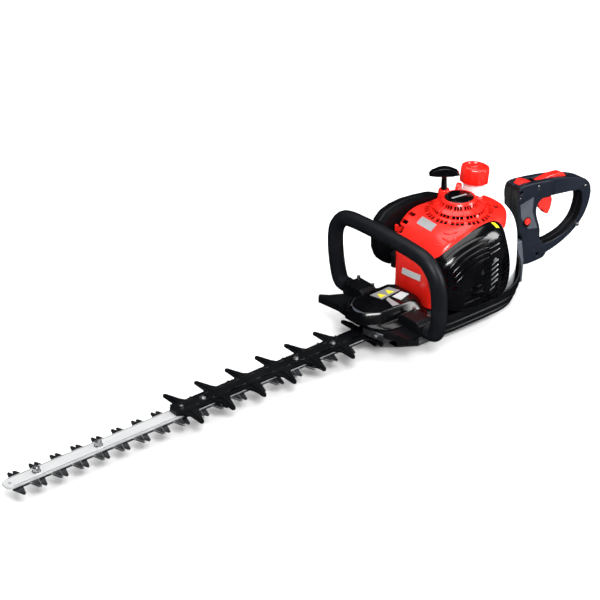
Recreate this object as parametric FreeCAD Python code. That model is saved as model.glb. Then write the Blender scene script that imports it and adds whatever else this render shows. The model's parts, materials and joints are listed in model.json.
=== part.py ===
"""Double-sided petrol hedge trimmer, in millimetres, lying level with +Z up.

X runs along the tool from the blade tip to the rear handle, and +Y is the side of the air cleaner.
Lengths along X are laid out from a datum under the front handle, and write_node moves every piece
so that X = 0 is the middle of the finished tool, Y = 0 its centre plane and Z = 0 the ground.
"""
import FreeCAD, Part
import math
import os

V = FreeCAD.Vector

# ---- driving dimensions -------------------------------------------------------------------------
BAR_TIP_X = -580.0              # front end of the guide bar
LOOP_REAR_X = 560.0             # rear end of the rear handle
MIDDLE_X = (BAR_TIP_X + LOOP_REAR_X) / 2

TOOTH_PITCH = 35.0              # along each side of each blade
TOOTH_REACH = 30.0              # from the centre line to a tooth's tip
STROKE = 17.5                   # travel of each blade
BLADE_LEAD = STROKE / 4         # how far each blade stands from the point where they line up
BLADE_HALF = 11.0
BAR_HALF = 12.0
LOWER_BLADE_Z = (24.0, 26.0)
UPPER_BLADE_Z = (26.2, 28.2)
BAR_Z = (28.4, 31.6)
FAR_TEETH_X = -556.0            # first tooth of the upper blade on the +Y side
NEAR_TEETH_X = FAR_TEETH_X + TOOTH_PITCH / 2
FAR_TEETH = 18
NEAR_TEETH = 17
BOLT_X = (-527.0, -423.0, -238.0, -62.0, 11.0)
BAR_BOLT_X = (100.0, 150.0)     # bolts of the bar on the gear case
BOLT_R = 3.0
COLLAR_R = 4.0
HEAD_R = 6.5

GUARD_X = (-292.0, 78.0)        # blunt tooth guard over the inner half of the bar
GUARD_SPIKE_X = -274.0
GUARD_SPIKE_PITCH = 57.3
GUARD_SPIKES = 7
GUARD_REACH = 49.6
GUARD_Z = (31.6, 37.6)
GUARD_SCREW_X = -277.0

CRANK_X = 270.0                 # upright engine shaft
MODULE = 1.25
GEAR_TEETH = 46
PINION_TEETH = 12
MESH_SLACK = 0.4
GEAR_X = CRANK_X - MODULE * (GEAR_TEETH + PINION_TEETH) / 2 - MESH_SLACK
THROW = STROKE / 2              # eccentric offset
ECCENTRIC_R = 14.0
REST_ANGLE = 60.0               # upper eccentric's direction from +X when the tool is at rest
AXLE_R = 5.0
RUNNING = 0.05                  # radial clearance of a shaft in its bore
GEAR_Z = (34.0, 44.0)

CASE_TOP = 54.0
CASE_HALF = 44.0
CASE_X = (118.0, 312.0)
NECK_X = 80.0
NECK_HALF = 20.0
LID_TOP = 6.0
CHAMBER_X = (198.0, 283.0)
CHAMBER_HALF = 33.0
CHAMBER_TOP = 46.0
HOUSING_TOP = 80.0              # top of the ring that holds the clutch
HOUSING_R = 42.0

CYLINDER_Z = 112.0
ENGINE_TOP = 205.0
COVER_WALL = 2.6

PINION_SHAFT_R = 5.0
DRUM_R = 34.0                   # clutch drum
DRUM_Z = (57.0, 74.0)
SHAFT_R = 7.5                   # engine shaft at the flywheel
CRANKCASE_Z = (HOUSING_TOP, 150.0)
CRANKCASE_R = 33.0
CRANKPIN_OFFSET = 14.0          # half of the piston's stroke
FLYWHEEL_Z = (153.0, 167.0)
FLYWHEEL_R = 39.0
PULLEY_Z = (176.0, 186.0)
PULLEY_R = 25.0
GRIP_XY = (266.0, 31.0)         # rope outlet of the starter
CARB_Z = (98.0, 142.0)
PRIMER_XY = (219.0, 50.0)
NECK_BASE = V(330, 34, 180)
CAP_AXIS = V(0.14, 0, 0.99).normalize()     # the fuel cap leans back a little

SWIVEL_Z = 66.0                 # axis that the rear handle turns on
SWIVEL_R = 12.0
GAP = 0.3                       # room between pieces that move past each other

HANDLE_X = 120.0                # plane of the front handle
TUBE_R = 9.0
FOAM_R = 12.5

# x and z of the screws through the rear handle
HANDLE_SCREWS = [(432, 179), (392, 181), (541, 147), (530, 78), (434, 56)]
TRIGGER_PIVOT = (445.0, 160.0)
LEVER_PIVOT = (440.0, 179.0)


# ---- helpers ------------------------------------------------------------------------------------
def write_node(name, *solids):
    """Move the solids to the tool's own origin and write them as one node."""
    shape = solids[0] if len(solids) == 1 else Part.makeCompound(list(solids))
    shape = shape.copy()
    shape.translate(V(-MIDDLE_X, 0, 0))
    shape.exportStep("parts/" + name + ".step")


def block(x, y, z):
    """Box from three (low, high) pairs."""
    return Part.makeBox(x[1] - x[0], y[1] - y[0], z[1] - z[0], V(x[0], y[0], z[0]))


def rod(start, end, radius):
    """Cylinder between two points."""
    way = V(*end) - V(*start)
    return Part.makeCylinder(radius, way.Length, V(*start), way)


def ring(start, end, outer, inner):
    """Tube between two points."""
    return rod(start, end, outer).cut(rod(start, end, inner))


def cone(start, end, first, last):
    """Cone between two points."""
    way = V(*end) - V(*start)
    return Part.makeCone(first, last, way.Length, V(*start), way)


def ball(centre, radius):
    return Part.makeSphere(radius, V(*centre))


def rounded_path(points, radii, closed=False):
    """Straight runs joined by tangent arcs. A radius of 0 leaves its corner sharp."""
    points = [V(*p) for p in points]
    count = len(points)
    edges = []
    ends = []
    for i in range(count):
        here = points[i]
        radius = radii[i] if isinstance(radii, (list, tuple)) else radii
        if radius <= 0 or (not closed and i in (0, count - 1)):
            ends.append((here, None, here))
            continue
        back = (points[i - 1] - here).normalize()
        on = (points[(i + 1) % count] - here).normalize()
        half = back.getAngle(on) / 2
        if half > math.radians(89.9):
            ends.append((here, None, here))
            continue
        trim = radius / math.tan(half)
        middle = (back + on).normalize() * (radius / math.sin(half) - radius)
        ends.append((here + back * trim, here + middle, here + on * trim))
    for i in range(count):
        first, middle, last = ends[i]
        if middle is not None:
            edges.append(Part.Arc(first, middle, last).toShape())
        if closed or i < count - 1:
            following = ends[(i + 1) % count][0]
            if (following - last).Length > 1e-4:
                edges.append(Part.LineSegment(last, following).toShape())
    return Part.Wire(edges)


def soft_radii(points):
    """Radii that turn a closed outline's corners into the largest arcs that its runs allow."""
    points = [V(x, y, 0) for x, y in points]
    radii = []
    for i, here in enumerate(points):
        back = points[i - 1] - here
        on = points[(i + 1) % len(points)] - here
        half = back.getAngle(on) / 2
        radii.append(0.45 * min(back.Length, on.Length) * math.tan(min(half, math.radians(89.8))))
    return radii


def plan(points, z, radius=0.0):
    """Solid from an outline in X and Y, standing from z[0] to z[1]."""
    wire = rounded_path([(x, y, z[0]) for x, y in points], radius, closed=True)
    return Part.Face(wire).extrude(V(0, 0, z[1] - z[0]))


def profile(points, y, radius=0.0):
    """Solid from an outline in X and Z, standing from y[0] to y[1]."""
    wire = rounded_path([(x, y[0], z) for x, z in points], radius, closed=True)
    return Part.Face(wire).extrude(V(0, y[1] - y[0], 0))


def section(points, x, radius=0.0):
    """Solid from an outline in Y and Z, standing from x[0] to x[1]."""
    wire = rounded_path([(x[0], y, z) for y, z in points], radius, closed=True)
    return Part.Face(wire).extrude(V(x[1] - x[0], 0, 0))


def frustum(lower, upper, z):
    """Ruled solid between two outlines with the same number of corners."""
    wires = []
    for points, height in ((lower, z[0]), (upper, z[1])):
        corners = [V(x, y, height) for x, y in points]
        wires.append(Part.makePolygon(corners + corners[:1]))
    return Part.makeLoft(wires, True, True)


def mirrored(points):
    """An outline's half with y > 0, closed by its mirror image in the X axis."""
    return list(points) + [(x, -y) for x, y in reversed(points)]


def hexagon(centre, across_flats, z):
    corner = across_flats / math.sqrt(3)
    points = []
    for i in range(6):
        angle = math.radians(60 * i)
        points.append((centre[0] + corner * math.cos(angle), centre[1] + corner * math.sin(angle)))
    return plan(points, z)


def shrunk(points, wall):
    """The outline drawn inwards by about a wall's thickness."""
    low = [min(p[i] for p in points) for i in (0, 1)]
    high = [max(p[i] for p in points) for i in (0, 1)]
    middle = [(low[i] + high[i]) / 2 for i in (0, 1)]
    scale = [1 - 2 * wall / (high[i] - low[i]) for i in (0, 1)]
    return [tuple(middle[i] + (p[i] - middle[i]) * scale[i] for i in (0, 1)) for p in points]


def fuse(shapes):
    first, rest = shapes[0], list(shapes[1:])
    return first.fuse(rest).removeSplitter() if rest else first


def cut(shape, *tools):
    """The shape without the tools, as one clean solid or compound."""
    return shape.cut(list(tools))


def slot_hole(x, half_width, travel, z):
    """Long hole along X, from travel[0] to travel[1] either side of x."""
    ends = [rod((x + way, 0, z[0]), (x + way, 0, z[1]), half_width) for way in travel]
    middle = block((x + travel[0], x + travel[1]), (-half_width, half_width), z)
    return fuse(ends + [middle])


def screw(point, head_r, head_h, shank_r, shank_l, axis=(0, 0, 1)):
    """Cap screw with a hex socket: its head starts at the point and stands along the axis."""
    base = V(*point)
    way = V(*axis).normalize()
    head = Part.makeCylinder(head_r, head_h, base, way)
    shank = Part.makeCylinder(shank_r, shank_l, base - way * shank_l, way)
    socket = Part.makeCylinder(head_r * 0.5, head_h * 0.55, base + way * head_h * 0.45, way)
    return head.fuse(shank).cut(socket)


# ---- cutting part -------------------------------------------------------------------------------
def tooth(x, side, z, bevel_up):
    """One blade tooth, its two flanks ground back to a cutting edge on the other blade's side."""
    root, tip, bevel = 9.0, 2.6, 1.7
    edge = [(x - root, side * (BLADE_HALF - 1)), (x - tip, side * (TOOTH_REACH - 1.5)),
            (x - tip + 1.4, side * TOOTH_REACH), (x + tip - 1.4, side * TOOTH_REACH),
            (x + tip, side * (TOOTH_REACH - 1.5)), (x + root, side * (BLADE_HALF - 1))]
    back = [(x - root + bevel, side * (BLADE_HALF - 1)), (x - tip + bevel, side * (TOOTH_REACH - 1.9)),
            (x - 0.6, side * (TOOTH_REACH - 1)), (x + 0.6, side * (TOOTH_REACH - 1)),
            (x + tip - bevel, side * (TOOTH_REACH - 1.9)), (x + root - bevel, side * (BLADE_HALF - 1))]
    if bevel_up:
        return frustum(edge, back, z)
    return frustum(back, edge, z)


def blade(z, lead, first_near, bevel_up):
    """Toothed strip with bolt slots and, at its tail, the cross slot that an eccentric drives."""
    teeth = []
    rows = ((1, FAR_TEETH_X, 0, FAR_TEETH), (-1, NEAR_TEETH_X, first_near, NEAR_TEETH))
    for side, start, first, count in rows:
        for i in range(first, count):
            x = start + TOOTH_PITCH * i + (2 * lead if lead > 0 else 0)
            teeth.append(tooth(x, side, z, bevel_up))
    centre = GEAR_X + (BLADE_LEAD if lead == 0 else -BLADE_LEAD)
    ahead, behind = (2.8, 0.6) if lead == 0 else (0.6, 2.8)
    hole_x = (centre - ECCENTRIC_R - ahead, centre + ECCENTRIC_R + behind)
    hole_half = ECCENTRIC_R + THROW + 0.6
    strip = block((BAR_TIP_X + 9, hole_x[0] - 1), (-BLADE_HALF, BLADE_HALF), z)
    yoke_wall = 5.0
    yoke = plan([(hole_x[0] - yoke_wall, -hole_half - yoke_wall), (hole_x[1] + yoke_wall, -hole_half - yoke_wall),
                 (hole_x[1] + yoke_wall, hole_half + yoke_wall), (hole_x[0] - yoke_wall, hole_half + yoke_wall)],
                z, 6.0)
    hole = plan([(hole_x[0], -hole_half), (hole_x[1], -hole_half), (hole_x[1], hole_half),
                 (hole_x[0], hole_half)], z, 2.0)
    short = STROKE * 0.25 + 0.6
    long = STROKE * 0.75 + 0.6
    travel = (-short, long) if lead == 0 else (-long, short)
    slots = [slot_hole(x, COLLAR_R + GAP, travel, z) for x in BOLT_X]
    return cut(fuse([strip, yoke] + teeth), hole, *slots)


def upper_blade():
    write_node("upper_blade", blade(UPPER_BLADE_Z, 0, 0, True))


def lower_blade():
    write_node("lower_blade", blade(LOWER_BLADE_Z, BLADE_LEAD, -1, False))


def guide_bar():
    outline = mirrored([(BAR_TIP_X, 7), (BAR_TIP_X + 5, BAR_HALF), (185, BAR_HALF)])
    bar = plan(outline, BAR_Z, 2.0)
    holes = [rod((x, 0, 20), (x, 0, 45), BOLT_R) for x in BOLT_X + BAR_BOLT_X]
    tip_hole = rod((BAR_TIP_X + 9, 0, 20), (BAR_TIP_X + 9, 0, 45), 2.5)
    guard_hole = rod((GUARD_SCREW_X, 0, 20), (GUARD_SCREW_X, 0, 45), 1.9)
    write_node("guide_bar", cut(bar, tip_hole, guard_hole, *holes))


def blade_bolts():
    bolts = []
    for x in BOLT_X:
        head = rod((x, 0, LOWER_BLADE_Z[0] - 3.6), (x, 0, LOWER_BLADE_Z[0] - GAP), HEAD_R)
        collar = rod((x, 0, LOWER_BLADE_Z[0] - GAP), (x, 0, BAR_Z[0]), COLLAR_R)
        shank = rod((x, 0, BAR_Z[0]), (x, 0, BAR_Z[1] + 9.4), BOLT_R)
        bolts.append(fuse([head, collar, shank]))
    write_node("blade_bolts", *bolts)


def blade_nuts():
    """Nuts with a flange, one on each blade bolt."""
    nuts = []
    for x in BOLT_X:
        flange = rod((x, 0, BAR_Z[1]), (x, 0, BAR_Z[1] + 1.2), HEAD_R)
        nut = hexagon((x, 0), 10.0, (BAR_Z[1] + 1, BAR_Z[1] + 7))
        nuts.append(fuse([flange, nut]).cut(rod((x, 0, 20), (x, 0, 60), BOLT_R)))
    write_node("blade_nuts", *nuts)


def guard_spike(x, side):
    """Blunt finger that reaches past the cutting teeth, with a raised rib along it."""
    sweep = 4.0
    outline = [(x + sweep - 16, side * 12), (x + sweep - 7, side * 24), (x - 3, side * (GUARD_REACH - 2)),
               (x - 1, side * GUARD_REACH), (x + 1.5, side * GUARD_REACH), (x + 3.5, side * (GUARD_REACH - 2)),
               (x + sweep + 8, side * 24), (x + sweep + 16, side * 12)]
    finger = plan(outline, (GUARD_Z[0], GUARD_Z[0] + 3.4))
    rib = plan([(x + sweep - 2, side * 12), (x - 0.6, side * (GUARD_REACH - 3)),
                (x + 1, side * (GUARD_REACH - 3)), (x + sweep + 2, side * 12)], (GUARD_Z[0], GUARD_Z[1] - 0.8))
    return [finger, rib]


def tooth_guard():
    body = plan(mirrored([(GUARD_X[0], 9), (GUARD_X[0] + 8, 14), (GUARD_X[1], 14)]), GUARD_Z, 3.0)
    parts = [body]
    for i in range(GUARD_SPIKES):
        for side in (1, -1):
            parts += guard_spike(GUARD_SPIKE_X + GUARD_SPIKE_PITCH * i, side)
    pockets = [rod((x, 0, 20), (x, 0, 50), HEAD_R + 1) for x in BOLT_X]
    troughs = []
    for i in range(GUARD_SPIKES - 1):
        start = GUARD_SPIKE_X + GUARD_SPIKE_PITCH * i + 22
        for side in (1, -1):
            troughs.append(block((start, start + 24), sorted((side * 9.5, side * 12)), (GUARD_Z[1] - 2.5, 50)))
    seat = rod((GUARD_SCREW_X, 0, 20), (GUARD_SCREW_X, 0, 50), 1.9)
    past_end = block((GUARD_X[1], GUARD_X[1] + 40), (-70, 70), (20, 50))
    write_node("tooth_guard", cut(fuse(parts), seat, past_end, *(pockets + troughs)))


def tooth_guard_screw():
    write_node("tooth_guard_screw", screw((GUARD_SCREW_X, 0, GUARD_Z[1]), 3.6, 2.4, 1.9, 8.6))


# ---- gear case and blade drive ------------------------------------------------------------------
LID_SCREWS = [(130, 24), (165, 38), (215, 39.5), (262, 39.5), (304, 30)]


def gear_case():
    outer = plan(mirrored([(NECK_X, NECK_HALF), (CASE_X[0], NECK_HALF + 4), (150, CASE_HALF),
                           (CASE_X[1] - 12, CASE_HALF), (CASE_X[1], CASE_HALF - 12)]), (LID_TOP, CASE_TOP), 3.0)
    under_neck = block((NECK_X - 1, CASE_X[0] + 2), (-60, 60), (LID_TOP - 1, 14))
    housing = rod((CRANK_X, 0, CASE_TOP), (CRANK_X, 0, HOUSING_TOP), HOUSING_R)
    inside = rod((CRANK_X, 0, CASE_TOP), (CRANK_X, 0, HOUSING_TOP), HOUSING_R - 4)
    channel = block((NECK_X - 1, CHAMBER_X[0] + 1), (-BLADE_HALF - 1, BLADE_HALF + 1), (23.0, BAR_Z[0]))
    bar_seat = block((NECK_X - 1, 185), (-BAR_HALF, BAR_HALF), BAR_Z)
    chamber = block(CHAMBER_X, (-CHAMBER_HALF, CHAMBER_HALF), (LID_TOP - 1, CHAMBER_TOP))
    pinion_bore = rod((CRANK_X, 0, 40), (CRANK_X, 0, CASE_TOP + 1), 13.0)
    axle_bore = rod((GEAR_X, 0, 40), (GEAR_X, 0, 51), AXLE_R + RUNNING)
    bolt_holes = [rod((x, 0, 25), (x, 0, 70), BOLT_R) for x in BAR_BOLT_X]
    screw_holes = [rod((x, side * y, 0), (x, side * y, 18), 2.0) for x, y in LID_SCREWS for side in (1, -1)]
    case = cut(fuse([outer, housing]), under_neck, inside, channel, bar_seat, chamber, pinion_bore, axle_bore,
               *(bolt_holes + screw_holes))
    write_node("gear_case", case)


def gear_case_lid():
    outline = mirrored([(CASE_X[0] + 2, NECK_HALF + 4), (150, CASE_HALF), (CASE_X[1] - 12, CASE_HALF),
                        (CASE_X[1], CASE_HALF - 12)])
    lid = plan(outline, (0, LID_TOP), 3.0)
    boss = rod((GEAR_X, 0, LID_TOP), (GEAR_X, 0, 19), 10)
    bore = rod((GEAR_X, 0, 3), (GEAR_X, 0, 20), AXLE_R + RUNNING)
    heads = [rod((x, side * y, -1), (x, side * y, 3), 4.0) for x, y in LID_SCREWS for side in (1, -1)]
    shanks = [rod((x, side * y, -1), (x, side * y, 7), 2.0) for x, y in LID_SCREWS for side in (1, -1)]
    write_node("gear_case_lid", cut(fuse([lid, boss]), bore, *(heads + shanks)))


def lid_screws():
    screws = []
    for x, y in LID_SCREWS:
        for side in (1, -1):
            screws.append(screw((x, side * y, 3), 3.8, 2.6, 2.0, 13, axis=(0, 0, -1)))
    write_node("lid_screws", *screws)


def bar_bolts():
    length = CASE_TOP - BAR_Z[0]
    write_node("bar_bolts", *[screw((x, 0, CASE_TOP), 5.0, 4.0, BOLT_R, length) for x in BAR_BOLT_X])


def gear(centre, teeth, z, bore, phase):
    """Spur gear with straight-sided teeth."""
    pitch_r = MODULE * teeth / 2
    points = []
    for i in range(teeth):
        for part, radius in ((-0.29, pitch_r - 1.2 * MODULE), (-0.12, pitch_r + 0.9 * MODULE),
                             (0.12, pitch_r + 0.9 * MODULE), (0.29, pitch_r - 1.2 * MODULE)):
            angle = 2 * math.pi * (i + part) / teeth + math.radians(phase)
            points.append((centre + radius * math.cos(angle), radius * math.sin(angle)))
    return plan(points, z).cut(rod((centre, 0, z[0] - 1), (centre, 0, z[1] + 1), bore))


def crank_gear():
    wheel = gear(GEAR_X, GEAR_TEETH, GEAR_Z, AXLE_R, 0)
    holes = []
    for i in range(6):
        angle = math.radians(60 * i + 30)
        x, y = GEAR_X + 17 * math.cos(angle), 17 * math.sin(angle)
        holes.append(rod((x, y, 30), (x, y, 50), 4.5))
    write_node("crank_gear", cut(wheel, *holes))


def blade_eccentric():
    """Two discs set opposite each other, one for each blade."""
    x = THROW * math.cos(math.radians(REST_ANGLE))
    y = THROW * math.sin(math.radians(REST_ANGLE))
    join = (UPPER_BLADE_Z[0] + LOWER_BLADE_Z[1]) / 2
    upper = rod((GEAR_X + x, y, join), (GEAR_X + x, y, GEAR_Z[0]), ECCENTRIC_R)
    lower = rod((GEAR_X - x, -y, 20), (GEAR_X - x, -y, join), ECCENTRIC_R)
    bore = rod((GEAR_X, 0, 10), (GEAR_X, 0, 50), AXLE_R)
    write_node("blade_eccentric", fuse([upper, lower]).cut(bore))


def crank_axle():
    write_node("crank_axle", rod((GEAR_X, 0, 3.5), (GEAR_X, 0, 50.5), AXLE_R))


def pinion():
    teeth = gear(CRANK_X, PINION_TEETH, GEAR_Z, 1.5, 180.0 / PINION_TEETH)
    shaft = ring((CRANK_X, 0, GEAR_Z[1]), (CRANK_X, 0, DRUM_Z[0]), PINION_SHAFT_R, 1.5)
    write_node("pinion", fuse([teeth, shaft]))


def clutch_drum():
    drum = rod((CRANK_X, 0, DRUM_Z[0]), (CRANK_X, 0, DRUM_Z[1]), DRUM_R)
    inside = rod((CRANK_X, 0, DRUM_Z[0] + 3), (CRANK_X, 0, DRUM_Z[1] + 1), DRUM_R - 2.5)
    write_node("clutch_drum", drum.cut(inside))


def pinion_bearing():
    bearing = ring((CRANK_X, 0, 46.5), (CRANK_X, 0, CASE_TOP), 13.0, PINION_SHAFT_R + RUNNING)
    write_node("pinion_bearing", bearing)


def clutch_shoes():
    """Two weighted shoes and their carrier on the end of the crankshaft, inside the drum."""
    start, end = (CRANK_X, 0, DRUM_Z[0] + 6), (CRANK_X, 0, DRUM_Z[1] + 2)
    carrier = ring(start, end, 14.8, SHAFT_R)
    shoes = ring(start, end, DRUM_R - 4.5, 15).cut(block((CRANK_X - 60, CRANK_X + 60), (-3, 3), (50, 90)))
    write_node("clutch_shoes", carrier, *shoes.Solids)


# ---- engine -------------------------------------------------------------------------------------


def crankcase():
    body = rod((CRANK_X, 0, CRANKCASE_Z[0]), (CRANK_X, 0, CRANKCASE_Z[1]), CRANKCASE_R)
    foot = rod((CRANK_X, 0, CRANKCASE_Z[0]), (CRANK_X, 0, CRANKCASE_Z[0] + 6), HOUSING_R)
    front = block((CRANK_X - 35, CRANK_X), (-24, 24), (CYLINDER_Z - 24, CYLINDER_Z + 24))
    cavity = rod((CRANK_X, 0, 92), (CRANK_X, 0, 132), 24)
    mouth = rod((CRANK_X - 40, 0, CYLINDER_Z), (CRANK_X, 0, CYLINDER_Z), 16)
    bore = rod((CRANK_X, 0, 70), (CRANK_X, 0, 160), SHAFT_R + RUNNING)
    write_node("crankcase", cut(fuse([body, foot, front]), cavity, mouth, bore))


def crankshaft():
    """Upright shaft with its crank pin towards the cylinder."""
    lower = rod((CRANK_X, 0, 64), (CRANK_X, 0, 96), SHAFT_R)
    upper = rod((CRANK_X, 0, 128), (CRANK_X, 0, 188), SHAFT_R)
    webs = [rod((CRANK_X, 0, z), (CRANK_X, 0, z + 8), 21) for z in (96, 120)]
    pin = rod((CRANK_X - CRANKPIN_OFFSET, 0, 104), (CRANK_X - CRANKPIN_OFFSET, 0, 120), 5)
    write_node("crankshaft", fuse([lower, upper, pin] + webs))


def flywheel():
    """Flywheel with the fan vanes that cool the engine."""
    disc = rod((CRANK_X, 0, FLYWHEEL_Z[0]), (CRANK_X, 0, FLYWHEEL_Z[0] + 5), FLYWHEEL_R)
    hub = rod((CRANK_X, 0, FLYWHEEL_Z[0]), (CRANK_X, 0, FLYWHEEL_Z[1]), 16)
    vanes = []
    for i in range(16):
        vane = block((CRANK_X + 14, CRANK_X + FLYWHEEL_R - 1), (-1, 1), FLYWHEEL_Z)
        vane.rotate(V(CRANK_X, 0, 0), V(0, 0, 1), 22.5 * i)
        vanes.append(vane)
    shaft = rod((CRANK_X, 0, 140), (CRANK_X, 0, 200), SHAFT_R)
    write_node("flywheel", fuse([disc, hub] + vanes).cut(shaft))


def cylinder():
    """Finned barrel lying forwards from the crankcase."""
    barrel = rod((188, 0, CYLINDER_Z), (CRANK_X - 35, 0, CYLINDER_Z), 20)
    fin_height = (CYLINDER_Z - 25, CYLINDER_Z + 31)
    fins = [block((190 + 6.5 * i, 192 + 6.5 * i), (-27, 27), fin_height) for i in range(7)]
    head = block((179, 189), (-20, 20), (CYLINDER_Z - 20, CYLINDER_Z + 20))
    plug_boss = rod((184, 8, CYLINDER_Z), (184, 27, CYLINDER_Z), 5)
    plug_hole = rod((184, 6, CYLINDER_Z), (184, 30, CYLINDER_Z), 3.5)
    bore = rod((196, 0, CYLINDER_Z), (CRANK_X - 30, 0, CYLINDER_Z), 16)
    inlet = rod((215, 10, CYLINDER_Z), (215, 28, CYLINDER_Z), 8)
    outlet = rod((215, -10, CYLINDER_Z), (215, -28, CYLINDER_Z), 8)
    port_bosses = rod((215, -27, CYLINDER_Z), (215, 27, CYLINDER_Z), 12)
    outside = fuse([barrel, head, port_bosses, plug_boss] + fins)
    write_node("cylinder", cut(outside, bore, inlet, outlet, plug_hole))


def piston():
    crown = rod((199, 0, CYLINDER_Z), (219, 0, CYLINDER_Z), 15.9)
    hollow = rod((203, 0, CYLINDER_Z), (220, 0, CYLINDER_Z), 12)
    write_node("piston", crown.cut(hollow))


def spark_plug():
    thread = rod((184, 8, CYLINDER_Z), (184, 27, CYLINDER_Z), 3.5)
    nut = rod((184, 27, CYLINDER_Z), (184, 34, CYLINDER_Z), 7)
    insulator = rod((184, 34, CYLINDER_Z), (184, 46, CYLINDER_Z), 3.5)
    write_node("spark_plug", fuse([thread, nut, insulator]))


def spark_plug_boot():
    body = fuse([rod((184, 36, CYLINDER_Z), (184, 52, CYLINDER_Z), 8.5),
                 ball((184, 52, CYLINDER_Z), 8.5),
                 rod((184, 52, CYLINDER_Z), (184, 53, CYLINDER_Z - 20), 7)])
    write_node("spark_plug_boot", body.cut(rod((184, 30, CYLINDER_Z), (184, 46, CYLINDER_Z), 3.5)))


def ignition_coil():
    body = block((211, 228), (-14, 14), (145.5, 156))
    legs = block((226, 230.2), (-12, -4), (147, 155)).fuse(block((226, 230.2), (4, 12), (147, 155)))
    write_node("ignition_coil", body.fuse(legs))


def muffler():
    """Pressed silencer box on the near side of the cylinder."""
    case = profile([(204, 64), (278, 64), (278, 134), (204, 134)], (-71, -43), 10.0)
    inside = profile([(206, 66), (276, 66), (276, 132), (206, 132)], (-69, -45), 8.0)
    pipe = ring((215, -43, CYLINDER_Z), (215, -27, CYLINDER_Z), 11, 7)
    outlet = ring((262, -71, 84), (262, -74, 84), 8, 5)
    port = rod((215, -46, CYLINDER_Z), (215, -30, CYLINDER_Z), 7)
    exit_port = rod((262, -68, 84), (262, -76, 84), 5)
    write_node("muffler", cut(fuse([case.cut(inside), pipe, outlet]), port, exit_port))


MUFFLER_SIDE = [(178, 138), (176, 92), (192, 54), (240, 47.5), (302, 47.5), (326, 58), (333, 100),
                (323, 148), (300, 171), (236, 164), (196, 154)]
MUFFLER_PLAN = [(175, -28.8), (176, -52), (194, -74), (238, -84), (290, -81), (324, -62), (334, -42),
                (334, -28.8)]


def muffler_cover():
    """Black side cover, open towards the engine, with air slots in its lower rear half."""
    outer = profile(MUFFLER_SIDE, (-90, -28.8), 10.0).common(plan(MUFFLER_PLAN, (40, 180), 0.0))
    side = shrunk(MUFFLER_SIDE, COVER_WALL)
    flat = [(x, min(y + COVER_WALL, -20)) for x, y in shrunk(MUFFLER_PLAN, COVER_WALL)]
    inner = profile(side, (-90, -20), 8.0).common(plan(flat, (40, 180), 0.0))
    slots = []
    for row in range(7):
        for column in (288, 311):
            z = 68 + 11 * row
            slant = [(column - 8, z), (column + 8, z + 6), (column + 8, z + 10), (column - 8, z + 4)]
            slots.append(profile(slant, (-95, -40)))
    room_low = rod((CRANK_X, 0, 40), (CRANK_X, 0, 92), HOUSING_R + 0.5)
    room_high = rod((CRANK_X, 0, 148), (CRANK_X, 0, 180), FLYWHEEL_R + 2)
    case_room = block((140, CASE_X[1] + 0.5), (-CASE_HALF - 0.5, 0), (30, CASE_TOP + 0.5))
    write_node("muffler_cover", cut(outer, inner, room_low, room_high, case_room, *slots))


COVER_PLAN = [(168, -29), (168, 36), (178, 46), (286, 46), (298, 42), (304, 30), (312, 13), (318, 5), (346, 4),
              (361, -6), (361, -18), (346, -36), (318, -62), (194, -62), (178, -48)]


def cover_body(side, flat, radius_change, low):
    side_face = profile(side, (-80, 60), 0.0)
    body = side_face.common(plan(flat, (low, 200), 0.0))
    dome = fuse([cone((CRANK_X, 0, 170), (CRANK_X, 0, 193), 62 - radius_change, 48 - radius_change),
                 cone((CRANK_X, 0, 193), (CRANK_X, 0, ENGINE_TOP - radius_change), 48 - radius_change,
                      28 - radius_change)])
    return body, dome.common(plan(flat, (160, 220), 0.0))


def starter_cover():
    """Red engine cover: front shroud, sloping top, and the round starter housing with its grille."""
    side = [(168, 60), (168, 134), (178, 152), (196, 170), (214, 181), (246, 188), (318, 188), (350, 172),
            (361, 168), (361, 157.5), (318, 157.5), (300, 150), (240, 150), (240, 60)]
    body, dome = cover_body(side, COVER_PLAN, 0.0, 55)
    front = 168 + COVER_WALL
    inner_side = [(front, 50), (front, 133), (180, 150.5), (197, 167.2), (215, 178), (246, 185), (318, 185),
                  (349, 169.5), (358, 165), (358, 140), (243, 140), (243, 50)]
    inner_body, inner_dome = cover_body(inner_side, shrunk(COVER_PLAN, COVER_WALL), COVER_WALL, 50)
    boss = rod((GRIP_XY[0], GRIP_XY[1], 190), (GRIP_XY[0], GRIP_XY[1], 210), 9)
    rope_hole = rod((GRIP_XY[0], GRIP_XY[1], 160), (GRIP_XY[0], GRIP_XY[1], 230), 3)
    lower_side = [(150, 40), (150, 126), (166, 127), (176, 140), (195, 156), (236, 166), (302, 173), (326, 150),
                  (337, 100), (337, 40)]
    near_side = profile(lower_side, (-120, -28.5))
    carburettor_gap = block((180, 239), (26, 70), (90, 172))
    plug_gap = block((174, 194), (30, 70), (88, 125))
    slots = []
    for i in range(24):
        if i % 4 == 3:
            continue
        for radius, rise in ((34, 199), (42, 194)):
            slot = block((CRANK_X + radius, CRANK_X + radius + 5), (-2, 2), (rise - 14, rise + 8))
            slot.rotate(V(CRANK_X, 0, 0), V(0, 0, 1), 15 * i)
            slots.append(slot)
    badge_seat = rod((CRANK_X, 0, ENGINE_TOP - 1), (CRANK_X, 0, ENGINE_TOP + 5), 22.5)
    shell = cut(fuse([body, dome, boss]), inner_body, inner_dome)
    shell = cut(shell, rope_hole, near_side, carburettor_gap, plug_gap, badge_seat, *slots)
    write_node("starter_cover", max(shell.Solids, key=lambda solid: solid.Volume))


def starter_badge():
    write_node("starter_badge", rod((CRANK_X, 0, ENGINE_TOP - 1), (CRANK_X, 0, ENGINE_TOP + 1), 22))


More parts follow.
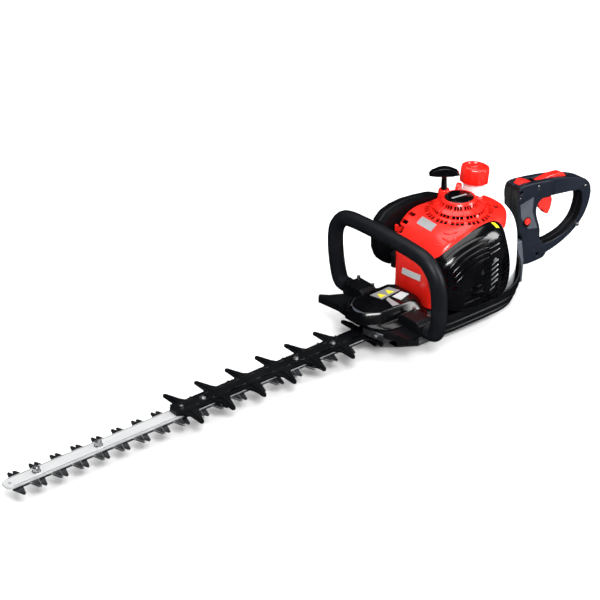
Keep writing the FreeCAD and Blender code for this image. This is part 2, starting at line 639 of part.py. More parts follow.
def starter_pulley():
    body = ring((CRANK_X, 0, PULLEY_Z[0]), (CRANK_X, 0, PULLEY_Z[1]), PULLEY_R, SHAFT_R + RUNNING)
    groove = ring((CRANK_X, 0, PULLEY_Z[0] + 3), (CRANK_X, 0, PULLEY_Z[1] - 3), PULLEY_R + 1, PULLEY_R - 6)
    write_node("starter_pulley", body.cut(groove))


def starter_rope():
    x, y = GRIP_XY
    write_node("starter_rope", rod((x, y, 188), (x, y, 214), 1.6))


def starter_grip():
    """T-shaped pull grip, its bar crowned along the top."""
    x, y = GRIP_XY
    stem = cone((x, y, 210.3), (x, y, 238), 5, 4)
    bar = profile([(-25, 236), (-20, 242), (-9, 247), (0, 248.5), (9, 247), (20, 242), (25, 236), (12, 234),
                   (0, 233.5), (-12, 234)], (-7, 7), 0.8)
    bar.rotate(V(0, 0, 0), V(0, 0, 1), -38)
    bar.translate(V(x, y, 0))
    hole = rod((x, y, 200), (x, y, 214), 1.6)
    write_node("starter_grip", fuse([stem, bar]).cut(hole))


# ---- carburettor side ---------------------------------------------------------------------------


def intake_spacer():
    body = profile([(201, 98), (229, 98), (229, 126), (201, 126)], (27, 36), 4.0)
    write_node("intake_spacer", body.cut(rod((215, 26, CYLINDER_Z), (215, 37, CYLINDER_Z), 8)))


def carburettor():
    body = profile([(196, 98), (234, 98), (234, 142), (196, 142)], (36, 62), 4.0)
    throat = rod((215, 35, CYLINDER_Z), (215, 63, CYLINDER_Z), 8)
    x, y = PRIMER_XY
    base = rod((x, y, CARB_Z[1]), (x, y, CARB_Z[1] + 6), 11)
    seat = ring((x, y, CARB_Z[1] + 6), (x, y, CARB_Z[1] + 12), 11, 9)
    lever_post = rod((x - 16, y, CARB_Z[1]), (x - 16, y, CARB_Z[1] + 18), 3)
    write_node("carburettor", fuse([body, base, seat, lever_post]).cut(throat))


def primer_bulb():
    """Clear bulb that presses down into its seat on the carburettor."""
    x, y = PRIMER_XY
    rim = CARB_Z[1] + 10.5
    dome = ball((x, y, rim), 8.5).common(block((x - 20, x + 20), (y - 20, y + 20), (rim, rim + 20)))
    skirt = rod((x, y, rim - GAP), (x, y, rim), 8.5)
    write_node("primer_bulb", fuse([dome, skirt]))


def choke_lever():
    """Flag-shaped lever on a post beside the primer bulb."""
    x, y = PRIMER_XY[0] - 16, PRIMER_XY[1]
    z = CARB_Z[1] + 13
    hub = rod((x, y, z), (x, y, z + 3.5), 5.0)
    arm_outline = [(x - 2, y + 3.5), (x - 16, y + 5), (x - 20, y + 1), (x - 17, y - 4), (x - 2, y - 3.5)]
    arm = plan(arm_outline, (z, z + 3.5))
    tab = block((x - 20, x - 17), (y - 2.5, y + 3.5), (z, z + 11))
    write_node("choke_lever", fuse([hub, arm, tab]).cut(rod((x, y, z - 1), (x, y, z + 5), 3 + RUNNING)))


CLEANER_SIDE = [(162, 116), (168, 100), (180, 93), (206, 93), (230, 98), (256, 122), (284, 150), (306, 172),
                (284, 182), (255, 186), (227, 188), (203, 186), (182, 180), (168, 168), (162, 146)]


def air_cleaner_case():
    plate = profile(CLEANER_SIDE, (62, 74), 5.0)
    pocket = profile(shrunk(CLEANER_SIDE, 3.0), (65, 75), 4.0)
    throat = rod((215, 61, CYLINDER_Z), (215, 66, CYLINDER_Z), 8)
    stud = rod((212, 65, 140), (212, 92, 140), 2.5)
    write_node("air_cleaner_case", fuse([cut(plate, pocket, throat), stud]))


def air_filter():
    pad = profile(shrunk(CLEANER_SIDE, 4.0), (66, 82), 4.0)
    write_node("air_filter", pad.cut(rod((212, 60, 140), (212, 90, 140), 2.5)))


def air_cleaner_cover():
    outer = fuse([profile(CLEANER_SIDE, (74, 88), 5.0), profile(shrunk(CLEANER_SIDE, 5.0), (87, 98), 5.0)])
    inner = profile(shrunk(CLEANER_SIDE, 3.0), (73, 86), 4.0)
    hole = rod((212, 70, 140), (212, 105, 140), 2.5)
    recess = rod((212, 90, 140), (212, 105, 140), 10)
    write_node("air_cleaner_cover", cut(outer, inner, hole, recess))


def air_cleaner_knob():
    knob = rod((212, 90 + GAP, 140), (212, 102, 140), 8)
    wing = block((210, 214), (100, 106), (132, 148))
    write_node("air_cleaner_knob", fuse([knob, wing]).cut(rod((212, 80, 140), (212, 92, 140), 2.5 + RUNNING)))


# ---- fuel ---------------------------------------------------------------------------------------


def along_neck(distance):
    """Point on the filler's axis, a distance above the tank's top."""
    return tuple(NECK_BASE + CAP_AXIS * distance)


def fuel_tank():
    """Translucent tank behind the engine, with its slanted filler neck."""
    outline = [(316, -24), (338, -24), (338, -40), (379, -40), (379, 46), (316, 52)]
    radii = [6, 3, 8, 17, 17, 8]
    shoulder = [(300, 22), (372, 22), (380, 38), (380, 118), (375, 138), (357, 156), (300, 156)]
    body = plan(outline, (22, 156), radii).common(profile(shoulder, (-60, 60), 5.0))
    tower = plan([(315, 18), (350, 18), (350, 50), (315, 50)], (120, 183), 13.0)
    neck = rod(along_neck(-6), along_neck(26), 16.5)
    wall = 3.0
    low_inside = plan(shrunk(outline, wall), (25, 153), 4.0)
    side_inside = profile(shrunk(shoulder, wall), (-60, 60), 4.0)
    bore = rod(along_neck(-45), along_neck(30), 13.5)
    write_node("fuel_tank", cut(fuse([body, tower, neck]), low_inside.common(side_inside), bore))


def fuel_cap():
    outer = rod(along_neck(22), along_neck(50), 22.5)
    hollow = rod(along_neck(20), along_neck(27), 16.5 + GAP)
    plug = rod(along_neck(10), along_neck(30), 13.5 - GAP)
    dish = rod(along_neck(48), along_neck(52), 18)
    grips = []
    for i in range(16):
        rib = Part.makeBox(2.4, 2.4, 25, V(21.6, -1.2, 23))
        rib.rotate(V(0, 0, 0), V(0, 0, 1), 22.5 * i)
        rib.rotate(V(0, 0, 0), V(0, 1, 0), math.degrees(math.atan2(CAP_AXIS.x, CAP_AXIS.z)))
        rib.translate(NECK_BASE)
        grips.append(rib)
    write_node("fuel_cap", fuse([outer.cut(hollow), plug] + grips).cut(dish))


# ---- frame and handles --------------------------------------------------------------------------
TRAY_PLAN = [(152, 46.5), (200, 62), (335, 62), (364, 57), (384, 40)]


def base_tray():
    """Black tray round the gear case that carries the tank and the rear bracket."""
    outline = mirrored(TRAY_PLAN)
    outer = plan(outline, (12, 84), 0.0)
    inner = plan(shrunk(outline, 3.0), (17, 85), 0.0)
    side = profile([(150, 12), (384, 12), (384, 84), (374, 84), (340, 46), (150, 40)], (-70, 70))
    floor_gap = plan(mirrored([(151, 45), (306, 45), (313, 38)]), (0, 50), 2.0)
    ribs = []
    for z in (18, 26, 34):
        band = plan(outline, (z, z + 3), 0.0).cut(plan(shrunk(outline, 1.0), (z - 1, z + 4), 0.0))
        ribs.append(band)
    body = outer.cut(inner).common(side)
    grooves = [rib.common(profile([(205, 10), (330, 10), (330, 46), (205, 46)], (-70, 70))) for rib in ribs]
    write_node("base_tray", cut(body, floor_gap, *grooves))


def vibration_mounts():
    mounts = []
    for x in (212, 296):
        for side in (1, -1):
            mounts.append(ring((x, side * CASE_HALF, 30), (x, side * 58.9, 30), 7, 3))
    write_node("vibration_mounts", *mounts)


def hand_guard():
    """Wide plate across the tool that keeps the front hand off the blades."""
    far_front = [(69, 30), (72, 60), (69, 82), (66, 103)]
    near_front = [(82, -90), (80, -76), (73, -56), (68, -30)]
    far_rear = [(71, 106), (82, 94), (100, 84), (106, 68), (105.5, 40), (160, 38)]
    near_rear = [(160, -38), (105.5, -40), (106, -68), (106, -94), (93, -97)]
    plate = plan(far_front + far_rear + near_rear + near_front, (CASE_TOP, CASE_TOP + 4), 1.5)
    lips = []
    for front in (far_front, near_front):
        back = [(x + 3, y) for x, y in reversed(front)]
        lips.append(plan(front + back, (CASE_TOP - 8, CASE_TOP + 1)))
    holes = [rod((x, 0, 50), (x, 0, 62), 6) for x in BAR_BOLT_X]
    clear = [block((NECK_X - 2, 200), (-CASE_HALF, CASE_HALF), (0, CASE_TOP))]
    write_node("hand_guard", cut(fuse([plate] + lips), *(holes + clear)))


def guard_cover():
    """Boat-shaped hump over the middle of the hand guard."""
    low = mirrored([(64, 6), (82, 39), (156, 39), (163, 30)])
    high = mirrored([(62, 5), (80, 30), (150, 31), (158, 22)])
    outer = frustum(low, high, (CASE_TOP + 4, 80))
    inner = frustum(shrunk(low, 3), shrunk(high, 3), (CASE_TOP + 3, 77))
    write_node("guard_cover", outer.cut(inner))


def handle_path(inner_y):
    """Centre line of the arched front handle, leaning a little forwards."""
    half = [(inner_y, 61), (112, 60), (124, 100), (121, 160), (94, 187), (0, 190)]
    points = []
    for y, z in half + [(-y, z) for y, z in reversed(half[:-1])]:
        points.append((HANDLE_X + 2 - 0.05 * (z - 60), y, z))
    radii = [0, 20, 90, 40, 50, 300, 50, 40, 90, 20, 0]
    return rounded_path(points, radii)


def swept(path, radius):
    start = path.Edges[0].Vertexes[0].Point
    way = path.Edges[0].tangentAt(path.Edges[0].FirstParameter)
    circle = Part.Wire([Part.Circle(start, way, radius).toShape()])
    return path.makePipeShell([circle], True, False)


def handle_tube():
    outer = swept(handle_path(46), TUBE_R)
    inner = swept(handle_path(46), TUBE_R - 1.5)
    write_node("handle_tube", outer.cut(inner))


def handle_grip():
    foam = swept(handle_path(93), FOAM_R)
    write_node("handle_grip", foam.cut(swept(handle_path(46), TUBE_R)))


def handle_brackets():
    brackets = []
    for side in (1, -1):
        body = section([(side * 42, 54), (side * 92, 50), (side * 92, 70), (side * 84, 75), (side * 50, 75),
                        (side * 42, 70)], (107, 137), 3.0)
        holes = [rod((134, side * y, 45), (134, side * y, 85), 1.8) for y in (50, 84)]
        brackets.append(cut(body, swept(handle_path(46), TUBE_R), *holes))
    write_node("handle_brackets", *brackets)


def handle_bolts():
    bolts = []
    for side in (1, -1):
        for y in (50, 84):
            bolts.append(screw((134, side * y, 75), 2.9, 3.0, 1.8, 20))
    write_node("handle_bolts", *bolts)


# ---- rear handle --------------------------------------------------------------------------------
def rear_bracket():
    """Upright behind the tank with the sleeve that the rear handle turns on."""
    plate = section([(-24, 20), (24, 20), (26, 60), (20, 96), (-20, 96), (-26, 60)], (384, 394), 4.0)
    sleeve = rod((394, 0, SWIVEL_Z), (428, 0, SWIVEL_Z), SWIVEL_R)
    flange = rod((424, 0, SWIVEL_Z), (428, 0, SWIVEL_Z), SWIVEL_R + 4)
    bore = rod((380, 0, SWIVEL_Z), (430, 0, SWIVEL_Z), SWIVEL_R - 4)
    write_node("rear_bracket", fuse([plate, sleeve, flange]).cut(bore))


COLUMN = [(396.5, 46), (425, 44), (450, 45), (458, 56), (450, 70), (439, 80), (438, 104), (431, 122), (427, 137),
          (431, 150), (441, 156), (464, 152), (470, 181), (436, 188), (402, 192), (388, 191), (384, 178),
          (386, 150), (390, 128), (391, 108), (396.5, 100)]
GRIP = [(428, 152), (441, 156), (479, 151), (507, 147), (528, 143), (545, 148), (548, 156), (532, 164),
        (505, 174), (470, 183), (434, 188)]
LOOP_OUTER = [(430, 45), (452, 47), (478, 51), (506, 60), (530, 73), (548, 91), (558, 112), (561, 132),
              (556, 149), (540, 160), (505, 165)]
LOOP_INNER = [(505, 147), (527, 143), (539, 136), (541, 117), (536, 98), (524, 82), (503, 71), (478, 67),
              (456, 66), (430, 70)]


def rear_handle_solid():
    loop_outline = LOOP_OUTER + LOOP_INNER
    column = profile(COLUMN, (-17, 17), soft_radii(COLUMN))
    grip = profile(GRIP, (-15, 15), soft_radii(GRIP))
    loop = profile(loop_outline, (-11.5, 11.5), soft_radii(loop_outline))
    return fuse([column, grip, loop])


def handle_hollows():
    """Room for the sleeve, the controls and their travel inside the rear handle."""
    sleeve = rod((390, 0, SWIVEL_Z), (428 + GAP, 0, SWIVEL_Z), SWIVEL_R + RUNNING)
    flange = rod((424 - GAP, 0, SWIVEL_Z), (428 + GAP, 0, SWIVEL_Z), SWIVEL_R + 4 + GAP)
    trigger_room = profile([(436, 140), (498, 138), (498, 160), (440, 168), (436, 160)], (-6.6, 6.6))
    lever_room = profile([(433, 172), (498, 161), (512, 163), (512, 195), (433, 195)], (-6.6, 6.6))
    switch_room = block((394, 432), (-7.3, 7.3), (180, 200))
    button_room = rod((406, -25, 126), (406, -4, 126), 5.5 + GAP)
    hollow = profile([(392, 112), (430, 112), (424, 130), (428, 150), (440, 160), (436, 170), (392, 176)],
                     (-13, 13))
    return [sleeve, flange, trigger_room, lever_room, switch_room, button_room, hollow]


def rear_handle_halves():
    solid = rear_handle_solid()
    holes = [rod((x, -30, z), (x, 10, z), 1.6) for x, z in HANDLE_SCREWS]
    heads = [rod((x, -30, z), (x, -10, z), 3.3) for x, z in HANDLE_SCREWS]
    pins = [rod((x, -12, z), (x, 12, z), 1.5) for x, z in (TRIGGER_PIVOT, LEVER_PIVOT)]
    solid = cut(solid, *(handle_hollows() + holes + heads + pins))
    left = solid.common(block((380, 570), (-30, 0), (0, 250)))
    right = solid.common(block((380, 570), (0, 30), (0, 250)))
    write_node("rear_handle_left", max(left.Solids, key=lambda one: one.Volume))
    write_node("rear_handle_right", max(right.Solids, key=lambda one: one.Volume))


def rear_handle_screws():
    screws = [screw((x, -10, z), 3.2, 1.2, 1.6, 18, axis=(0, -1, 0)) for x, z in HANDLE_SCREWS]
    write_node("rear_handle_screws", *screws)


def trigger():
    outline = [(441, 157), (448, 163.5), (468, 156), (474, 140), (471, 126), (465, 117), (461, 118), (454, 127),
               (445, 134), (442, 142)]
    body = profile(outline, (-6, 6), 1.0)
    x, z = TRIGGER_PIVOT
    write_node("trigger", body.cut(rod((x, -10, z), (x, 10, z), 1.5 + RUNNING)))


def lock_lever():
    outline = [(436, 183), (440, 188), (468, 190), (487, 188), (499, 183), (507, 175), (503, 171), (490, 177),
               (444, 174), (436, 176)]
    body = profile(outline, (-6, 6), 1.0)
    x, z = LEVER_PIVOT
    write_node("lock_lever", body.cut(rod((x, -10, z), (x, 10, z), 1.5 + RUNNING)))


def control_pins():
    write_node("control_pins", *[rod((x, -12, z), (x, 12, z), 1.5) for x, z in (TRIGGER_PIVOT, LEVER_PIVOT)])


def ignition_switch():
    outline = [(396, 184), (396, 190), (403, 196), (411, 194), (422, 189), (422, 184)]
    write_node("ignition_switch", profile(outline, (-7, 7), 1.0))


def swivel_button():
    body = rod((406, -20.5, 126), (406, -8, 126), 5.5)
    write_node("swivel_button", body)


def main():
    os.makedirs("parts", exist_ok=True)
    for make in (upper_blade, lower_blade, guide_bar, blade_bolts, blade_nuts, tooth_guard,
                 tooth_guard_screw, gear_case, gear_case_lid, lid_screws, bar_bolts, crank_gear, blade_eccentric,
                 crank_axle, pinion, clutch_drum, pinion_bearing, clutch_shoes, crankcase, crankshaft, flywheel,
                 cylinder, piston, spark_plug, spark_plug_boot, ignition_coil, muffler, muffler_cover,
                 starter_cover, starter_badge, starter_pulley, starter_rope, starter_grip, intake_spacer,
                 carburettor, primer_bulb, choke_lever, air_cleaner_case, air_filter,
                 air_cleaner_cover, air_cleaner_knob, fuel_tank, fuel_cap, base_tray, vibration_mounts,
                 hand_guard, guard_cover, handle_tube, handle_grip, handle_brackets, handle_bolts, rear_bracket,
                 rear_handle_halves, rear_handle_screws, trigger, lock_lever, control_pins, ignition_switch,
                 swivel_button):
        make()


main()
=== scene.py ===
import json
import math

import bmesh
import bpy
from mathutils import Matrix, Vector
from mathutils.bvhtree import BVHTree


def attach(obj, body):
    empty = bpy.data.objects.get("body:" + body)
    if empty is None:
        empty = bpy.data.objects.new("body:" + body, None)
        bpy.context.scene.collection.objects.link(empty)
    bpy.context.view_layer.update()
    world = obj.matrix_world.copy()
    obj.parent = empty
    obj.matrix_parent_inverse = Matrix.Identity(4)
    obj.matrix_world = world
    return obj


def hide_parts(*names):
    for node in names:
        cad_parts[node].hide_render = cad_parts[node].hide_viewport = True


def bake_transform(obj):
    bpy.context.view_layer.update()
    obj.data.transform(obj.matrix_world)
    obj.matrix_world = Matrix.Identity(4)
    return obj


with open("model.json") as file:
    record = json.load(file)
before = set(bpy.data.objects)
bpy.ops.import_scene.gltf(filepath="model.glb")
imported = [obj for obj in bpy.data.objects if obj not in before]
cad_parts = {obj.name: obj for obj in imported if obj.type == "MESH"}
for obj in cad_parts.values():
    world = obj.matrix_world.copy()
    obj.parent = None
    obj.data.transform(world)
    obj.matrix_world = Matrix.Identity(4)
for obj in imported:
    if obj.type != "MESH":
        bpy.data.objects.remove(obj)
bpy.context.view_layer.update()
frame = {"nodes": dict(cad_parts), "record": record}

NODES = frame["nodes"]
SUBPARTS = frame["record"]["subparts"]
SLOTS = {part["node"]: part["material_slot"] for part in SUBPARTS}
MM = 0.001


# ---- shader arithmetic ------------------------------------------------------------------------
class Value:
    """A node's output socket that takes part in Python arithmetic."""

    def __init__(self, finish, socket):
        self.finish = finish
        self.socket = socket

    def maths(self, operation, other):
        return self.finish.add("ShaderNodeMath", {"operation": operation}, {0: self, 1: other})

    def __add__(self, other):
        return self.maths("ADD", other)

    def __mul__(self, other):
        return self.maths("MULTIPLY", other)

    __radd__ = __add__
    __rmul__ = __mul__

    def within(self, low, high):
        """Runs from 0 at low to 1 at high, and stays there."""
        limits = {0: self, 1: low, 2: high, 3: 0.0, 4: 1.0}
        return self.finish.add("ShaderNodeMapRange", {"clamp": True}, limits)


class Finish:
    """A material in the making: one Principled shader and the nodes that vary it."""

    def __init__(self, name, tone, roughness, metallic=0.0, **fixed):
        self.material = bpy.data.materials.new(name)
        self.material.use_nodes = True
        self.tree = self.material.node_tree
        self.shader = self.tree.nodes["Principled BSDF"]
        self.set("Base Color", tone)
        self.set("Roughness", roughness)
        self.set("Metallic", metallic)
        for socket, value in fixed.items():
            self.set(socket.replace("_", " "), value)

    def set(self, socket, value, node=None):
        target = (node or self.shader).inputs[socket]
        if isinstance(value, Value):
            self.tree.links.new(value.socket, target)
        else:
            target.default_value = value

    def add(self, kind, settings=None, sockets=None, output=0):
        """Adds a node: its settings first, then the values or links of its sockets."""
        node = self.tree.nodes.new(kind)
        for key, value in (settings or {}).items():
            setattr(node, key, value)
        for key, value in (sockets or {}).items():
            self.set(key, value, node)
        return Value(self, node.outputs[output])

    def place(self, scale=(1, 1, 1)):
        """Object coordinates in metres, stretched."""
        spot = self.add("ShaderNodeTexCoord", output="Object")
        return self.add("ShaderNodeMapping", None, {"Vector": spot, "Scale": scale})

    def noise(self, scale, detail, roughness, vector=None):
        sockets = {"Vector": vector or self.place(), "Scale": scale}
        return self.add("ShaderNodeTexNoise", None, {**sockets, "Detail": detail, "Roughness": roughness})

    def blend(self, factor, first, second):
        return self.add("ShaderNodeMix", {"data_type": "RGBA"}, {0: factor, 6: first, 7: second}, output=2)

    def bump(self, height, strength, distance):
        sockets = {"Height": height, "Strength": strength, "Distance": distance}
        self.set("Normal", self.add("ShaderNodeBump", None, sockets))


def colour(red, green, blue):
    return (red, green, blue, 1.0)


# ---- materials --------------------------------------------------------------------------------
EVEN_GRAIN = (1, 1, 1)
BLADE_GRAIN = (0.12, 1, 1)
BAR_GRAIN = (0.06, 1, 1)
TURNED_GRAIN = (1, 1, 0.2)
METAL_RELIEF = 0.4 * MM
PLASTIC_RELIEF = 0.25 * MM
MATERIALS = {}


def metal(name, tone, roughness, grain_scale, stretch, depth=0.2, metallic=1.0):
    """Metal with drawn or cast grain: tone varies a little and roughness follows the grain."""
    made = Finish(name, tone, roughness, metallic)
    grain = made.noise(grain_scale, 4.0, 0.6, made.place(stretch))
    patches = made.noise(35.0, 3.0, 0.6)
    darker = colour(*(c * 0.72 for c in tone[:3]))
    made.set("Base Color", made.blend(grain * 0.5 + patches * 0.5, darker, tone))
    made.set("Roughness", roughness - 0.1 + grain * 0.2)
    made.bump(grain, depth, METAL_RELIEF)
    MATERIALS[name] = made.material


def moulded(name, tone, roughness, grain_scale=1400.0, depth=0.12, **fixed):
    """Moulded plastic with a fine grain, faint flow marks and a few handling smudges."""
    made = Finish(name, tone, roughness, **fixed)
    grain = made.noise(grain_scale, 2.0, 0.6)
    smudges = made.noise(22.0, 4.0, 0.6)
    lighter = colour(*(min(1.0, c * 1.35 + 0.004) for c in tone[:3]))
    made.set("Base Color", made.blend(smudges.within(0.4, 0.75) * 0.6, tone, lighter))
    made.set("Roughness", roughness - 0.06 + smudges * 0.14)
    made.bump(grain, depth, PLASTIC_RELIEF)
    MATERIALS[name] = made.material


def make_metals():
    metal("blade_steel", colour(0.085, 0.088, 0.095), 0.40, 260.0, BLADE_GRAIN)
    metal("ground_steel", colour(0.50, 0.51, 0.53), 0.34, 260.0, BLADE_GRAIN)
    metal("bar_aluminium", colour(0.86, 0.875, 0.88), 0.40, 300.0, BAR_GRAIN, 0.1, metallic=0.5)
    metal("zinc_steel", colour(0.66, 0.67, 0.68), 0.3, 500.0, EVEN_GRAIN, 0.15)
    metal("machined_steel", colour(0.42, 0.42, 0.43), 0.35, 420.0, TURNED_GRAIN)
    metal("cast_aluminium", colour(0.50, 0.52, 0.55), 0.48, 700.0, EVEN_GRAIN, 0.4)


def make_plastics():
    moulded("black_steel", colour(0.008, 0.008, 0.009), 0.35, 900.0, Specular_IOR_Level=0.25)
    moulded("black_plastic", colour(0.003, 0.0033, 0.0042), 0.32, Specular_IOR_Level=0.2)
    moulded("gloss_black_plastic", colour(0.0018, 0.0019, 0.0024), 0.13, 500.0, 0.03,
            Specular_IOR_Level=0.4)
    # dark_plastic is partly the plastic's own blue-grey and partly painted sheen; on the rear handle it is
    # the colour of the lit faces, and the shaded faces get black plastic as painted shade.
    moulded("dark_plastic", colour(0.007, 0.010, 0.017), 0.34, Specular_IOR_Level=0.25)
    moulded("grey_plastic", colour(0.050, 0.058, 0.072), 0.45, Specular_IOR_Level=0.3)
    moulded("red_plastic", colour(0.74, 0.012, 0.006), 0.30, 700.0, 0.05,
            Specular_IOR_Level=0.35, Coat_Weight=0.35, Coat_Roughness=0.12)
    moulded("tank_plastic", colour(0.84, 0.87, 0.87), 0.38, 300.0, 0.06)
    moulded("clear_plastic", colour(0.80, 0.78, 0.55), 0.15, 300.0, 0.03, Transmission_Weight=0.7)


def make_soft_materials():
    moulded("foam_rubber", colour(0.0045, 0.0052, 0.0075), 0.45, 900.0, 0.6, Specular_IOR_Level=0.25)
    moulded("black_rubber", colour(0.006, 0.006, 0.006), 0.50, 900.0, 0.2, Specular_IOR_Level=0.25)
    moulded("filter_foam", colour(0.05, 0.05, 0.05), 0.9, 400.0, 0.8)
    moulded("rope", colour(0.02, 0.02, 0.02), 0.8, 800.0, 0.5)


def make_label_materials():
    moulded("silver_label", colour(0.33, 0.335, 0.34), 0.32, 500.0, 0.03, Metallic=0.3)
    moulded("white_label", colour(0.50, 0.53, 0.54), 0.4, 500.0, 0.03)
    moulded("yellow_label", colour(0.85, 0.66, 0.01), 0.4, 500.0, 0.03)


def dress_nodes():
    """Gives every CAD node the material of its slot."""
    for name, slot in SLOTS.items():
        node = NODES[name]
        node.data.materials.clear()
        node.data.materials.append(MATERIALS[slot])


# ---- shaping tools ----------------------------------------------------------------------------
# Shapes are drawn in the maker's layout, in millimetres: x back along the tool from the crank side,
# y to the far side, z up. The layout's zero lies LAYOUT_X along the frame.
LAYOUT_X = 10.0
TO_FRAME = Matrix.Scale(MM, 4) @ Matrix.Translation((LAYOUT_X, 0, 0))
CRANK = (270.0, 0.0)
UP = (0, 0, 1)
TO_FRONT = (-1, 0, 0)
ALONG_Z = Matrix.Identity(3)
TO_NEAR_SIDE = Matrix(((1, 0, 0), (0, 0, -1), (0, 1, 0)))
TO_FAR_SIDE = Matrix(((1, 0, 0), (0, 0, 1), (0, 1, 0)))
WELD = 0.01 * MM
EDGE_ROUNDING = {"segments": 3, "profile": 0.5, "affect": "EDGES", "material": -1}


def spin(degrees, axis):
    return Matrix.Rotation(math.radians(degrees), 4, axis)


def oval(level, front, rear, near, far, power=2.0, middle=CRANK, tilt=(0, 0, 0, 0), count=32,
         rear_power=None, shoulder=0.0):
    """A closed ring at a level: four reaches from its middle, squarer with a higher power.

    The tilt lifts it at its four ends, and the shoulder lifts its front far corner."""
    points = []
    for i in range(count):
        turn = 2 * math.pi * i / count
        c = math.cos(turn)
        s = math.sin(turn)
        squareness = 2 / (power if c < 0 else rear_power or power)
        u = math.copysign(abs(c) ** squareness, c) * (front if c < 0 else rear)
        v = math.copysign(abs(s) ** squareness, s) * (near if s < 0 else far)
        rise = tilt[0 if c < 0 else 1] * c ** 4 + tilt[2 if s < 0 else 3] * s ** 4
        if c < 0 < s:
            rise += shoulder * min(1.0, -c / 0.3) * s
        points.append((middle[0] + u, middle[1] + v, level + rise))
    return points


def circle(level, radius, middle=CRANK, count=32):
    return oval(level, radius, radius, radius, radius, middle=middle, count=count)


def scaled(outline, level, scale, middle):
    """An outline at a level, drawn in towards its middle."""
    return [(middle[0] + (u - middle[0]) * scale, middle[1] + (v - middle[1]) * scale, level)
            for u, v in outline]


def loft(rings, axes=ALONG_Z, start_closed=False, end_closed=False):
    """A skin through rings of the same number of points, each drawn out from the one before."""
    shape = bmesh.new()
    order = shape.verts.layers.int.new("order")
    count = len(rings[0])
    made = bmesh.ops.create_circle(shape, segments=count, radius=1.0, cap_ends=start_closed)
    for i, vert in enumerate(made["verts"]):
        vert[order] = i
        vert.co = axes @ Vector(rings[0][i])
    edges = list(shape.edges)
    for ring in rings[1:]:
        made = bmesh.ops.extrude_edge_only(shape, edges=edges)["geom"]
        verts = {item for item in made if isinstance(item, bmesh.types.BMVert)}
        edges = [item for item in made
                 if isinstance(item, bmesh.types.BMEdge) and set(item.verts) <= verts]
        for vert in verts:
            vert.co = axes @ Vector(ring[vert[order]])
    if end_closed:
        bmesh.ops.contextual_create(shape, geom=edges)
    bmesh.ops.recalc_face_normals(shape, faces=shape.faces)
    return shape


def slab(outline, near, far, axes):
    """A flat plate of an outline, between two depths along the axes' third direction."""
    rings = [[(u, v, depth) for u, v in outline] for depth in (near, far)]
    return loft(rings, axes, start_closed=True, end_closed=True)


def shift(shape, move):
    bmesh.ops.transform(shape, matrix=move, verts=shape.verts)
    return shape


def box(middle, size, turn=None, bevel=0.0):
    """A block about its middle, turned, with rounded edges."""
    shape = bmesh.new()
    bmesh.ops.create_cube(shape, size=1.0, matrix=Matrix.Diagonal((*size, 1.0)))
    if bevel:
        bmesh.ops.bevel(shape, geom=shape.edges[:], offset=bevel, **EDGE_ROUNDING)
    return shift(shape, Matrix.Translation(middle) @ (turn or Matrix.Identity(4)))


def round_rims(shape, width):
    """Rounds the edges of the many-sided end faces."""
    rims = [edge for edge in shape.edges if any(len(face.verts) > 4 for face in edge.link_faces)]
    bmesh.ops.bevel(shape, geom=rims, offset=width, **EDGE_ROUNDING)


def drum(start, end, radius, end_radius=None, bevel=0.0, segments=48):
    """A round bar between two points, with rounded rims."""
    start = Vector(start)
    along = Vector(end) - start
    shape = bmesh.new()
    bmesh.ops.create_cone(shape, cap_ends=True, segments=segments, radius1=radius,
                          radius2=radius if end_radius is None else end_radius, depth=along.length)
    if bevel:
        round_rims(shape, bevel)
    turn = along.to_track_quat("Z", "Y").to_matrix().to_4x4()
    return shift(shape, Matrix.Translation(start + along / 2) @ turn)


def join(*shapes):
    """One shape out of several, each kept whole."""
    whole = shapes[0]
    for shape in shapes[1:]:
        mesh = bpy.data.meshes.new("joined")
        shape.to_mesh(mesh)
        shape.free()
        whole.from_mesh(mesh)
        bpy.data.meshes.remove(mesh)
    return whole


def raw_piece(name, shape, to_frame=True):
    """Turns a shape into an object, from the layout to the frame."""
    if to_frame:
        shift(shape, TO_FRAME)
    mesh = bpy.data.meshes.new(name)
    shape.to_mesh(mesh)
    shape.free()
    piece = bpy.data.objects.new(name, mesh)
    bpy.context.scene.collection.objects.link(piece)
    return piece


def add_modifier(piece, kind, **settings):
    modifier = piece.modifiers.new(kind.lower(), kind)
    for key, value in settings.items():
        setattr(modifier, key, value)


def subdivide(piece, levels=2):
    add_modifier(piece, "SUBSURF", levels=levels, render_levels=levels)


def thicken(piece, wall):
    """Gives an open skin its wall, inwards, in millimetres."""
    add_modifier(piece, "SOLIDIFY", thickness=wall * MM, offset=-1.0)


def soften(piece, width, sharper_than, segments=4):
    """Rounds the edges that turn by more than an angle, by a width in millimetres."""
    add_modifier(piece, "BEVEL", width=width * MM, segments=segments, limit_method="ANGLE",
                 angle_limit=math.radians(sharper_than))


def evaluated_mesh(piece):
    depsgraph = bpy.context.evaluated_depsgraph_get()
    return bpy.data.meshes.new_from_object(piece.evaluated_get(depsgraph))


def settle(piece):
    """Makes the modifiers part of the mesh."""
    settled = evaluated_mesh(piece)
    piece.modifiers.clear()
    old = piece.data
    piece.data = settled
    bpy.data.meshes.remove(old)


def face_outwards(piece):
    """Turns a closed skin that is inside out."""
    shape = bmesh.new()
    shape.from_mesh(piece.data)
    if shape.calc_volume(signed=True) < 0:
        bmesh.ops.reverse_faces(shape, faces=shape.faces)
        shape.to_mesh(piece.data)
    shape.free()


def carve(piece, cutter):
    """Takes the cutter shape's volume out of a piece."""
    face_outwards(piece)
    knife = raw_piece("knife", cutter)
    bpy.context.view_layer.update()
    add_modifier(piece, "BOOLEAN", object=knife, operation="DIFFERENCE", solver="EXACT", use_self=True)
    settle(piece)
    knife_mesh = knife.data
    bpy.data.objects.remove(knife)
    bpy.data.meshes.remove(knife_mesh)


